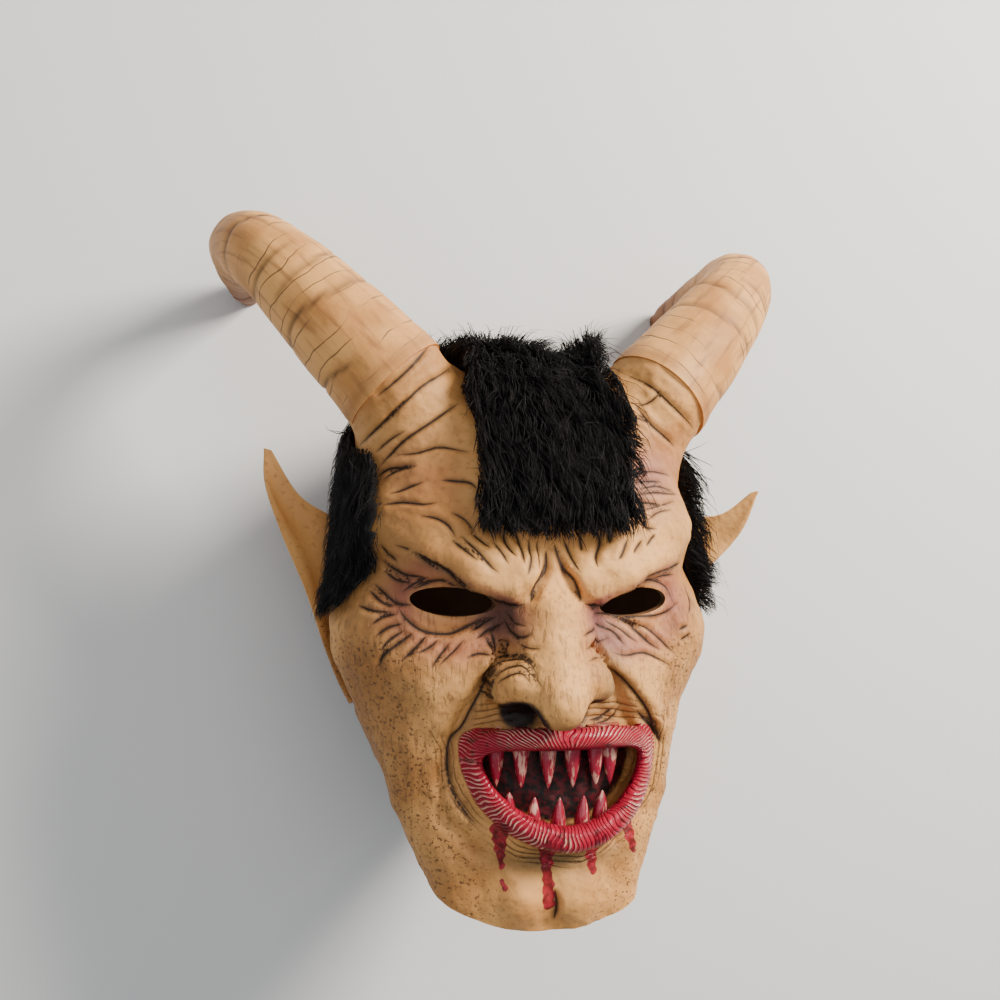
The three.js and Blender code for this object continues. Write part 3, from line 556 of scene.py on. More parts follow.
def lip_red(tree, mapped, grain, blotch, wobble):
    """The lips' red, pale on the ridges as a painted highlight; where it lies; how far up a ridge each point
    is.
    """
    stripe = add(tree, "Math", {0: mapped["lip_number"], 1: 0.5}, operation="PINGPONG")
    ridge = add(tree, "Math", {0: stripe, 1: wobble}, operation="ADD")
    ridge = add(tree, "MapRange", {"Value": ridge, "From Min": 0.3, "From Max": 0.42}, **RAMP)
    patch = add(tree, "MapRange", {"Value": blotch, "From Min": 0.38, "From Max": 0.58}, **RAMP)
    # Pale red on the front of the lips' ridges is a painted highlight.
    lip_highlight = add(tree, "Math", {0: ridge, 1: patch}, operation="MULTIPLY")
    lip_highlight = add(tree, "Math", {0: lip_highlight, 1: mapped["lip_crest"]}, operation="MULTIPLY", use_clamp=True)
    lip_highlight = add(tree, "Math", {0: lip_highlight, 1: 0.75}, operation="MULTIPLY")
    shade = add(tree, "MapRange", {"Value": grain, "From Min": 0.5, "From Max": 0.75}, **RAMP)
    red = add(tree, "Mix", {0: shade, 6: RED, 7: RED_DARK}, **PAINT_OVER)
    red = add(tree, "Mix", {0: lip_highlight, 6: red, 7: RED_PALE}, **PAINT_OVER)
    on_lip = add(tree, "Math", {0: grain, 1: 0.9, 2: mapped["lip_mm"]}, operation="MULTIPLY_ADD")
    on_lip = add(tree, "MapRange", {"Value": on_lip, "From Min": 2.1, "From Max": 1.6}, **RAMP)
    return red, on_lip, stripe


def dripped_red(tree, mapped, grain):
    """The drips' red, and where they run."""
    blood = add(tree, "Math", {0: grain, 1: 1.6, 2: mapped["blood_mm"]}, operation="MULTIPLY_ADD")
    blood = add(tree, "MapRange", {"Value": blood, "From Min": 1.1, "From Max": 0.6}, **RAMP)
    shade = add(tree, "MapRange", {"Value": grain, "From Min": 0.35, "From Max": 0.65}, **RAMP)
    shade = add(tree, "Math", {0: shade, 1: 0.8}, operation="MULTIPLY")
    return add(tree, "Mix", {0: shade, 6: RED, 7: RED_DARK}, **PAINT_OVER), blood


def painted_latex():
    material, tree = new_material("painted_latex_skin")
    mapped = {name: add(tree, "Attribute", out="Fac", attribute_name=name) for name in LATEX_MAPS}
    place = add(tree, "TexCoord", out="Object")
    pores = add(tree, "TexVoronoi", {
        "Vector": place, "Scale": PER_METRE / (PORE_COARSER * PORE_MM)}, feature="SMOOTH_F1")
    grain = add(tree, "TexNoise", {"Vector": place, "Scale": PER_METRE / 3.0, "Detail": 5.0})
    blotch = add(tree, "TexNoise", {"Vector": place, "Scale": PER_METRE / 34.0, "Detail": 4.0})
    fleck = add(tree, "TexNoise", {"Vector": place, "Scale": PER_METRE / 1.6, "Detail": 2.0})
    streaks = add(tree, "Mapping", {"Vector": place, "Scale": (1.0, 0.2, 1.0)})
    streak = add(tree, "TexNoise", {"Vector": streaks, "Scale": PER_METRE / 1.7, "Detail": 4.0})
    wobble = add(tree, "Math", {0: grain, 1: 0.5, 2: -0.25}, operation="MULTIPLY_ADD")

    lines, halo = wrinkle_lines(tree, mapped, grain, wobble)
    brushed = add(tree, "MapRange", {"Value": streak, "From Min": 0.5, "From Max": 0.68}, **RAMP)
    brushed = add(tree, "Math", {0: brushed, 1: mapped["streaked"]}, operation="MULTIPLY")
    pits = add(tree, "MapRange", {"Value": fleck, "From Min": 0.57, "From Max": 0.69}, **RAMP)
    pits = add(tree, "Math", {0: pits, 1: mapped["pitted"]}, operation="MULTIPLY", use_clamp=True)
    # Brown wiped into the wrinkles, and painted shade under the folds, at the eye corners and on the left
    # side.
    wash = add(tree, "Math", {0: mapped["wash"], 1: 0.85}, operation="MULTIPLY", use_clamp=True)
    skin = skin_tones(tree, mapped, grain, blotch)
    skin = add(tree, "Mix", {0: wash, 6: skin, 7: WASH_AND_SHADE}, **PAINT_OVER)
    skin = add(tree, "Mix", {0: halo, 6: skin, 7: WASH_AND_SHADE}, **PAINT_OVER)
    # Streaks and pores are paint; the drawn lines are paint and, along the folds' edges, painted shadow.
    for brown, share, paint in ((brushed, 0.34, WASH_AND_SHADE), (pits, 0.72, WASH_AND_SHADE), (lines, 0.82, DEEP_WASH_AND_SHADE)):
        share = add(tree, "Math", {0: brown, 1: share}, operation="MULTIPLY")
        skin = add(tree, "Mix", {0: share, 6: skin, 7: paint}, **PAINT_OVER)
    # The nostrils are painted near black: a painted shade.
    skin = add(tree, "Mix", {0: mapped["deep"], 6: skin, 7: DEEP_WASH_AND_SHADE}, **PAINT_OVER)

    red, on_lip, stripe = lip_red(tree, mapped, grain, blotch, wobble)
    run, blood = dripped_red(tree, mapped, grain)
    gum = add(tree, "MapRange", {"Value": grain, "From Min": 0.42, "From Max": 0.62}, **RAMP)
    gum = add(tree, "Mix", {0: gum, 6: GUM, 7: RED_DARK}, **PAINT_OVER)
    skin = add(tree, "Mix", {0: mapped["mouth"], 6: skin, 7: gum}, **PAINT_OVER)
    skin = add(tree, "Mix", {0: on_lip, 6: skin, 7: red}, **PAINT_OVER)
    thick = add(tree, "Math", {0: blood, 1: 0.95}, operation="MULTIPLY")
    skin = add(tree, "Mix", {0: thick, 6: skin, 7: run}, **PAINT_OVER)

    height = add(tree, "Math", {0: grain, 1: 0.6}, operation="MULTIPLY")
    grooves = add(tree, "MapRange", {"Value": stripe, "From Min": 0.0, "From Max": 0.3}, **RAMP)
    grooves = add(tree, "Math", {0: grooves, 1: on_lip}, operation="MULTIPLY")
    for part, tall in ((pores, 0.5), (lines, -1.0), (brushed, -0.35), (pits, -0.7), (grooves, 1.5)):
        height = add(tree, "Math", {0: part, 1: tall, 2: height}, operation="MULTIPLY_ADD")
    bump = add(tree, "Bump", {"Height": height, "Strength": 0.75, "Distance": 0.0006})
    wet = add(tree, "Math", {0: on_lip, 1: blood}, operation="MAXIMUM")
    rough = add(tree, "MapRange", {"Value": wet, "To Min": 0.6, "To Max": 0.3})
    shader = add(tree, "BsdfPrincipled", {
        "Base Color": skin, "Roughness": rough, "Normal": bump, "Specular IOR Level": 0.35})
    add(tree, "OutputMaterial", {"Surface": shader})
    return material


latex_skin = painted_latex()
print("material:", latex_skin.name)

# %% [markdown]
# The horns are part of the same casting. They are painted a little warmer, with brown streaks along
# their length, and they are darkest at the tips. The brown in their ring-shaped creases is partly
# wiped-in paint and partly painted shade. The mesh gives each point its place along the horn and round
# it, in millimetres, and the streaks are stretched by them. Fine rings are drawn about 9 mm apart, bent
# and broken by noise.

# %% Painted horn
HORN_RING_MM = 9.0
HORN_TIP = "8a5836"
HORN_MAPS = ["horn_along", "horn_around", "horn_dark", "wash"]


def painted_horn():
    material, tree = new_material("painted_latex_horn")
    mapped = {name: add(tree, "Attribute", out="Fac", attribute_name=name) for name in HORN_MAPS}
    place = add(tree, "TexCoord", out="Object")
    along, around = mapped["horn_along"], mapped["horn_around"]
    sheet = add(tree, "CombineXYZ", {0: along, 1: around})
    streak = add(tree, "Mapping", {"Vector": sheet, "Scale": (0.035, 0.35, 1.0)})
    streaks = add(tree, "TexNoise", {"Vector": streak, "Scale": 1.0, "Detail": 6.0})
    grain = add(tree, "TexNoise", {"Vector": place, "Scale": PER_METRE / 3.4, "Detail": 5.0})
    blotch = add(tree, "TexNoise", {"Vector": place, "Scale": PER_METRE / 26.0, "Detail": 4.0})
    bend = add(tree, "Mapping", {"Vector": sheet, "Scale": (0.05, 0.05, 1.0)})
    warp = add(tree, "TexNoise", {"Vector": bend, "Scale": 1.0, "Detail": 2.0})
    number = add(tree, "Math", {
        0: warp, 1: 1.3, 2: add(tree, "Math", {0: along, 1: HORN_RING_MM}, operation="DIVIDE")},
        operation="MULTIPLY_ADD")
    rise = add(tree, "Math", {0: number, 1: 0.5}, operation="PINGPONG")
    broken = add(tree, "MapRange", {"Value": blotch, "From Min": 0.42, "From Max": 0.58}, **RAMP)
    ring = add(tree, "Math", {
        0: add(tree, "MapRange", {"Value": rise, "From Min": 0.05, "From Max": 0.01}, **RAMP), 1: broken},
        operation="MULTIPLY")
    paint = add(tree, "Mix", {
        0: add(tree, "MapRange", {"Value": blotch, "From Min": 0.35, "From Max": 0.65}, **RAMP), 6: TAN,
        7: TAN_LIGHT}, **PAINT_OVER)
    paint = add(tree, "Mix", {
        0: add(tree, "Math", {
            0: add(tree, "MapRange", {"Value": streaks, "From Min": 0.5, "From Max": 0.7}, **RAMP),
            1: 0.55}, operation="MULTIPLY"),
        6: paint, 7: TAN_DARK}, **PAINT_OVER)
    paint = add(tree, "Mix", {0: mapped["horn_dark"], 6: paint, 7: HORN_TIP}, **PAINT_OVER)
    # Brown in the creases, partly wiped-in paint and partly painted shade.
    paint = add(tree, "Mix", {
        0: add(tree, "Math", {0: mapped["wash"], 1: 0.75}, operation="MULTIPLY"), 6: paint, 7: WASH_AND_SHADE},
        **PAINT_OVER)
    paint = add(tree, "Mix", {
        0: add(tree, "Math", {0: ring, 1: 0.75}, operation="MULTIPLY"), 6: paint, 7: WASH_AND_SHADE}, **PAINT_OVER)
    height = add(tree, "Math", {
        0: grain, 1: 0.5, 2: add(tree, "Math", {0: streaks, 1: 0.8}, operation="MULTIPLY")},
        operation="MULTIPLY_ADD")
    height = add(tree, "Math", {0: ring, 1: -0.8, 2: height}, operation="MULTIPLY_ADD")
    bump = add(tree, "Bump", {"Height": height, "Strength": 0.6, "Distance": 0.0007})
    shader = add(tree, "BsdfPrincipled", {
        "Base Color": paint, "Roughness": 0.58, "Normal": bump, "Specular IOR Level": 0.35})
    add(tree, "OutputMaterial", {"Surface": shader})
    return material


latex_horn = painted_horn()
print("material:", latex_horn.name)

# %% [markdown]
# The fangs are cast with the rest, painted a pinkish tan and then streaked with red over most of it.
# Clear varnish makes them the glossiest place on the mask. The inside was never painted: it is the
# plain brown of the pigmented latex, a little shiny from the mould.

# %% Fangs and lining
FANG_TAN, FANG_BROWN, FANG_RED = "d9a08c", "8d5a3c", "9d1c36"
LINING_DARK, LINING_LIGHT = "6b4c33", "8a6444"


def varnished_fang():
    material, tree = new_material("varnished_latex_fang")
    place = add(tree, "TexCoord", out="Object")
    stretched = add(tree, "Mapping", {"Vector": place, "Scale": (1.0, 0.16, 1.0)})
    stain = add(tree, "TexNoise", {"Vector": stretched, "Scale": PER_METRE / 1.3, "Detail": 3.0})
    cloud = add(tree, "TexNoise", {"Vector": place, "Scale": PER_METRE / 7.0, "Detail": 2.0})
    enamel = add(tree, "Mix", {
        0: add(tree, "MapRange", {"Value": stain, "From Min": 0.55, "From Max": 0.7}, **RAMP),
        6: FANG_TAN, 7: FANG_BROWN}, **PAINT_OVER)
    stained = add(tree, "Math", {0: cloud, 1: stain}, operation="ADD")
    enamel = add(tree, "Mix", {
        0: add(tree, "MapRange", {"Value": stained, "From Min": 0.78, "From Max": 0.98}, **RAMP),
        6: enamel, 7: FANG_RED}, **PAINT_OVER)
    bump = add(tree, "Bump", {"Height": stain, "Strength": 0.5, "Distance": 0.0005})
    shader = add(tree, "BsdfPrincipled", {
        "Base Color": enamel, "Roughness": 0.22, "Normal": bump, "Coat Weight": 0.5})
    add(tree, "OutputMaterial", {"Surface": shader})
    return material


def raw_latex():
    material, tree = new_material("raw_latex_lining")
    place = add(tree, "TexCoord", out="Object")
    cloud = add(tree, "TexNoise", {"Vector": place, "Scale": PER_METRE / 22.0, "Detail": 4.0})
    tone = add(tree, "Mix", {0: cloud, 6: LINING_DARK, 7: LINING_LIGHT}, **PAINT_OVER)
    bump = add(tree, "Bump", {"Height": cloud, "Strength": 0.4, "Distance": 0.001})
    shader = add(tree, "BsdfPrincipled", {"Base Color": tone, "Roughness": 0.5, "Normal": bump})
    add(tree, "OutputMaterial", {"Surface": shader})
    return material


latex_fang = varnished_fang()
latex_lining = raw_latex()
print("materials:", latex_fang.name, latex_lining.name)

# %% [markdown]
# The head's outside. The face gets small cells of 2.3 mm, because its folds are fine; the back of the
# head, most of which the fur hides, gets cells of 5 mm. The two overlap by half a millimetre in a plane
# behind the face, and a boolean joins them. Both go on below the rim, which is cut later.

# %% The head's outside
FACE_CELL, BACK_CELL, LINING_CELL = 2.3, 5.0, 6.0
SEAM_Z, OVERLAP = 5.0, 0.5
BELOW_RIM = 12


def face_field(x, y, z):
    return np.maximum(np.maximum(head_skin(x, y, z), RIM_Y - BELOW_RIM - y), SEAM_Z - z)


def back_field(x, y, z):
    return np.maximum(np.maximum(head_skin(x, y, z), RIM_Y - BELOW_RIM - y), z - SEAM_Z - OVERLAP)


def closed_form(name, field, low, high, cell, material):
    points, faces = skin_mesh(field, low, high, cell)
    corner = points[faces]
    volume = np.einsum("ij,ij->i", corner[:, 0], np.cross(corner[:, 1], corner[:, 2])).sum() / 6
    if volume < 0:
        faces = faces[:, ::-1]
    made = object_from(name, to_frame(points), faces, [material])
    print(name, len(faces), "triangles,", round(abs(volume) / 1e6, 3), "litres")
    return made


casting = closed_form("krampus_mask_latex", face_field, [-112, -167, 0], [112, 140, 114],
                      FACE_CELL, latex_skin)
back = closed_form("back_of_head", back_field, [-120, -167, -118], [120, 140, 12], BACK_CELL, latex_skin)
combine(casting, back, "UNION")

# %% [markdown]
# A tube is a flat grid whose vertices are rolled up: one side of the grid runs round the tube and the
# other along it. The doubled seam is merged and the two open ends are filled, so it is a closed solid.

# %% Rolling a grid into a tube
def rolled_tube(name, sides, stations, place, material):
    """place(round, along), both from 0 to 1, gives a vertex's place in millimetres."""
    bpy.ops.object.select_all(action="DESELECT")
    bpy.ops.mesh.primitive_grid_add(x_subdivisions=sides, y_subdivisions=stations, size=2)
    tube = bpy.context.object
    tube.name = name
    flat = vertices_of(tube)
    set_vertices(tube, to_frame(place((flat[:, 0] + 1) / 2, (flat[:, 1] + 1) / 2)))
    bpy.ops.object.mode_set(mode="EDIT")
    bpy.ops.mesh.select_all(action="SELECT")
    bpy.ops.mesh.remove_doubles(threshold=1e-6)
    bpy.ops.mesh.fill_holes(sides=0)
    bpy.ops.mesh.select_all(action="SELECT")
    bpy.ops.mesh.normals_make_consistent(inside=False)
    bpy.ops.object.mode_set(mode="OBJECT")
    tube.data.materials.append(material)
    return tube


# %% [markdown]
# A horn goes out and up, then back and a little down to the plane that the mask rests on. Its middle
# line is a smooth curve through six points, and its radius shrinks along it. The tip ends on that
# plane, so the mask rests on both tips and the back of the fur.

# %% Horns
HORN_POINTS = np.array([
    [68, 101, 38], [98, 133, 27], [123, 160, 8], [134, 171, -20], [135, 170, -58], [129, 162, -108],
], float)
HORN_ROWS = np.array([
    # share of the line, radius
    [0, 27.6], [0.2, 23.8], [0.4, 19.6], [0.58, 16.6], [0.78, 13], [0.93, 9.6], [0.985, 6.5],
])


def curve_through(points, count=400):
    """Evenly spaced points of a centripetal Catmull-Rom curve, and its direction there."""
    padded = np.vstack([2 * points[0] - points[1], points, 2 * points[-1] - points[-2]])
    gaps = np.sqrt(np.linalg.norm(np.diff(padded, axis=0), axis=1))
    t = np.linspace(0, 1, 120)[:, None]
    pieces = []
    for i in range(1, len(padded) - 2):
        p0, p1, p2, p3 = padded[i - 1:i + 3]
        d0, d1, d2 = gaps[i - 1:i + 2]
        m1 = ((p1 - p0) / d0 - (p2 - p0) / (d0 + d1) + (p2 - p1) / d1) * d1
        m2 = ((p2 - p1) / d1 - (p3 - p1) / (d1 + d2) + (p3 - p2) / d2) * d1
        pieces.append((2 * t**3 - 3 * t**2 + 1) * p1 + (t**3 - 2 * t**2 + t) * m1
                      + (3 * t**2 - 2 * t**3) * p2 + (t**3 - t**2) * m2)
    line = np.vstack(pieces)
    along = np.concatenate([[0], np.cumsum(np.linalg.norm(np.diff(line, axis=0), axis=1))])
    even = np.linspace(0, along[-1], count)
    line = np.stack([np.interp(even, along, line[:, axis]) for axis in range(3)], 1)
    direction = np.gradient(line, axis=0)
    return line, direction / np.linalg.norm(direction, axis=1)[:, None], along[-1]


HORN_LINE, HORN_ALONG, HORN_LENGTH = curve_through(HORN_POINTS)


def horn_frame(share):
    """The middle, and two directions across the horn, at shares of its length."""
    index = np.clip(share, 0, 1) * (len(HORN_LINE) - 1)
    middle = np.stack([np.interp(index, np.arange(len(HORN_LINE)), HORN_LINE[:, a]) for a in range(3)], 1)
    along = HORN_ALONG[np.round(index).astype(int)]
    middle = middle + along * (np.minimum(share, 0) * HORN_LENGTH)[:, None]
    across = np.array([0.45, -0.45, 0.77]) - along * (along @ [0.45, -0.45, 0.77])[:, None]
    across /= np.linalg.norm(across, axis=1)[:, None]
    return middle, across, np.cross(along, across)


def horn_place(side, start, end, shrink):
    def place(around, share_of):
        share = start + (end - start) * share_of
        middle, across, beside = horn_frame(share)
        radius = (through(HORN_ROWS, share, 1) - shrink)[:, None]
        angle = (2 * np.pi * around)[:, None]
        points = middle + radius * (np.cos(angle) * across + np.sin(angle) * beside)
        return points * [side, 1, 1]
    return place


for side in (-1, 1):
    horn = rolled_tube("horn", 72, 110, horn_place(side, -0.02, 1.0, 0), latex_horn)
    combine(casting, horn, "UNION")
print("horn line", round(HORN_LENGTH), "mm; mask", triangle_count(casting), "triangles")

# %% [markdown]
# An ear is a thin cupped leaf. Each row runs from the edge on the head to the free outer edge, and the
# leaf's section is rolled from the same grid: round at both edges, hollow in front, with a raised rim
# along the outer edge as on a real ear.

# %% Ears
EAR_THICK = 3.6
LEFT_EAR = [
    # on the head, outer edge, depth of the cup
    [[-70, -57, -10], [-78, -58, -5], 0.5],
    [[-70, -45, -13], [-83, -49, -8], 2],
    [[-72, -28, -17], [-90, -32, -12], 4],
    [[-74, 0, -22], [-100, -3, -20], 7],
    [[-76, 27, -26], [-113, 28, -30], 8],
    [[-102, 45, -36], [-121, 53, -38], 3],
    [[-117.5, 69, -40], [-121.5, 70, -40], 0.3],
]
RIGHT_EAR = [
    [[70, -57, -10], [80, -58, -5], 0.5],
    [[70, -44, -13], [84, -46, -8], 2],
    [[72, -24, -17], [93, -28, -12], 4],
    [[75, 4, -22], [110, -4, -16], 7],
    [[77, 30, -24], [125, 13, -14], 8],
    [[110, 38, -18], [135, 24, -12], 4],
    [[129, 41, -13], [141, 35, -8], 2],
    [[143, 53, -6], [147, 54, -5], 0.3],
]


def ear_place(rows):
    inner = curve_through(np.array([row[0] for row in rows], float))[0]
    outer, outer_along, _ = curve_through(np.array([row[1] for row in rows], float))
    cups = np.array([row[2] for row in rows], float)

    def place(around, up):
        index = np.round(up * (len(inner) - 1)).astype(int)
        a, b, along = inner[index], outer[index], outer_along[index]
        face = np.cross(b - a, along)
        face /= np.linalg.norm(face, axis=1)[:, None]
        face *= np.where(face[:, 2:] < 0, -1, 1)
        angle = 2 * np.pi * around
        s = 0.5 - 0.5 * np.cos(angle)
        lift = np.sign(np.sin(angle)) * np.abs(np.sin(angle)) ** 0.4 * EAR_THICK / 2
        cup = np.interp(up * (len(cups) - 1), np.arange(len(cups)), cups)
        rim = np.where(lift > 0, 0.25 * cup * np.exp(-(((s - 0.86) / 0.09) ** 2)), 0)
        away = lift + rim - 4 * cup * s * (1 - s)
        return a + (b - a) * s[:, None] + face * away[:, None]
    return place


for rows in (LEFT_EAR, RIGHT_EAR):
    combine(casting, rolled_tube("ear", 40, 70, ear_place(rows), latex_skin), "UNION")
print("mask with ears", triangle_count(casting), "triangles")

# %% [markdown]
# The inside is cut next: a room that follows the head about 4 mm under its skin, with the back of the mouth's
# recess left in, the bores of the horns, the two eye holes, and everything below the neck's edge.
# Last, a block under the floor takes off what would reach through it.

# %% Hollow, eye holes and neck edge
def lining_field(outer_x, y, z):
    x = outer_x - jaw_shift(y)
    floor = mouth_front(x) - MOUTH["deep"] - WALL - 2
    recess = np.maximum(mouth_outline(x, y) - 3, floor - z)
    room = blend_max(head_form(x, y, z) + WALL + 1, -recess, 3)
    return np.maximum(room, RIM_Y - 40 - y)


room = closed_form("room", lining_field, [-120, -196, -118], [120, 140, 112], LINING_CELL, latex_lining)
combine(casting, room, "DIFFERENCE")
for side in (-1, 1):
    bore = rolled_tube("bore", 20, 16, horn_place(side, -0.01, 0.9, WALL), latex_lining)
    combine(casting, bore, "DIFFERENCE")


def neck_edge(x, z):
    chin = RIM_Y + 13 * np.clip(np.abs(x) / 50, 0, 1.2) ** 2
    share = np.clip((z + 20) / 80, 0, 1) ** 1.3
    return NAPE_Y + (chin - NAPE_Y) * share


def eye_hole(side):
    bpy.ops.object.select_all(action="DESELECT")
    bpy.ops.mesh.primitive_cylinder_add(vertices=56, radius=1, depth=60)
    hole = bpy.context.object
    hole.data.materials.append(latex_lining)
    flat = vertices_of(hole)
    flat[:, 0] *= EYE["half"]
    flat[:, 1] *= EYE["tall"]
    c, s = math.cos(side * EYE["tilt"]), math.sin(side * EYE["tilt"])
    turned = np.stack([flat[:, 0] * c - flat[:, 1] * s, flat[:, 0] * s + flat[:, 1] * c, flat[:, 2]], 1)
    set_vertices(hole, to_frame(turned + [side * EYE["x"], EYE["y"], 70]))
    return hole


for side in (-1, 1):
    combine(casting, eye_hole(side), "DIFFERENCE")

bpy.ops.object.select_all(action="DESELECT")
bpy.ops.mesh.primitive_grid_add(x_subdivisions=60, y_subdivisions=80, size=2)
below = bpy.context.object
below.data.materials.append(latex_lining)
sheet = vertices_of(below) * [130, 200, 1]
edge = neck_edge(sheet[:, 0] - 2 * JAW_SHIFT, sheet[:, 1])
set_vertices(below, to_frame(np.stack([sheet[:, 0], edge, sheet[:, 1]], 1)))
bpy.ops.object.mode_set(mode="EDIT")
bpy.ops.mesh.select_all(action="SELECT")
bpy.ops.mesh.extrude_region_move(TRANSFORM_OT_translate={"value": (0, -110 * MM, 0)})
bpy.ops.mesh.select_all(action="SELECT")
bpy.ops.mesh.normals_make_consistent(inside=False)
bpy.ops.object.mode_set(mode="OBJECT")
combine(casting, below, "DIFFERENCE")

bpy.ops.object.select_all(action="DESELECT")
bpy.ops.mesh.primitive_cube_add(size=1, location=(0, 0, -0.1), scale=(0.8, 0.8, 0.2))
bpy.ops.object.transform_apply(location=True, rotation=True, scale=True)
under_floor = bpy.context.object
under_floor.data.materials.append(latex_horn)
combine(casting, under_floor, "DIFFERENCE")
print("hollow mask", triangle_count(casting), "triangles")

# %% [markdown]
# Eleven fangs stand on the gums. Each is a small tube that narrows to a point and leans forward a
# little, and all of them go a few millimetres into the lip, so that they are one with the casting.

# %% Fangs
UPPER_FANGS = [-21.5, -11, 1, 12.5, 24, 31.5]
LOWER_FANGS = [-16, -5, 6.5, 18, 27.5]
FANG_ROOT = 4.0
UPPER_TIP_Y, LOWER_TIP_Y = -83.0, -87
UPPER_WIDE, LOWER_WIDE = 4.6, 4.1
LOWER_CURVE = 0.013


def fang_place(x, root, tip, radius):
    depth = mouth_front(x - jaw_shift(tip)) - MOUTH["deep"] / 2

    def place(around, down):
        angle = 2 * np.pi * around
        wide = radius * np.clip(1 - down**2.0, 0.0009, 1) ** 0.75
        y = root + (tip - root) * down
        lean = 2.2 * down**2 - 1.0
        groove = 1 + 0.05 * np.cos(5 * angle)
        aside, out = wide * groove * np.cos(angle), wide * groove * np.sin(angle)
        return np.stack([x + aside, y, depth + lean + out], 1)
    return place


for x in UPPER_FANGS:
    root = MOUTH["y"] + MOUTH["up"] + FANG_ROOT
    fang = rolled_tube("fang", 20, 16, fang_place(x, root, UPPER_TIP_Y, UPPER_WIDE), latex_fang)
    combine(casting, fang, "UNION")
for x in LOWER_FANGS:
    rise = LOWER_CURVE * (x - MOUTH["x"]) ** 2
    root = MOUTH["y"] - MOUTH["down"] - FANG_ROOT + rise
    fang = rolled_tube("fang", 20, 16, fang_place(x, root, LOWER_TIP_Y + rise / 3, LOWER_WIDE), latex_fang)
    combine(casting, fang, "UNION")
print("with fangs", triangle_count(casting), "triangles")
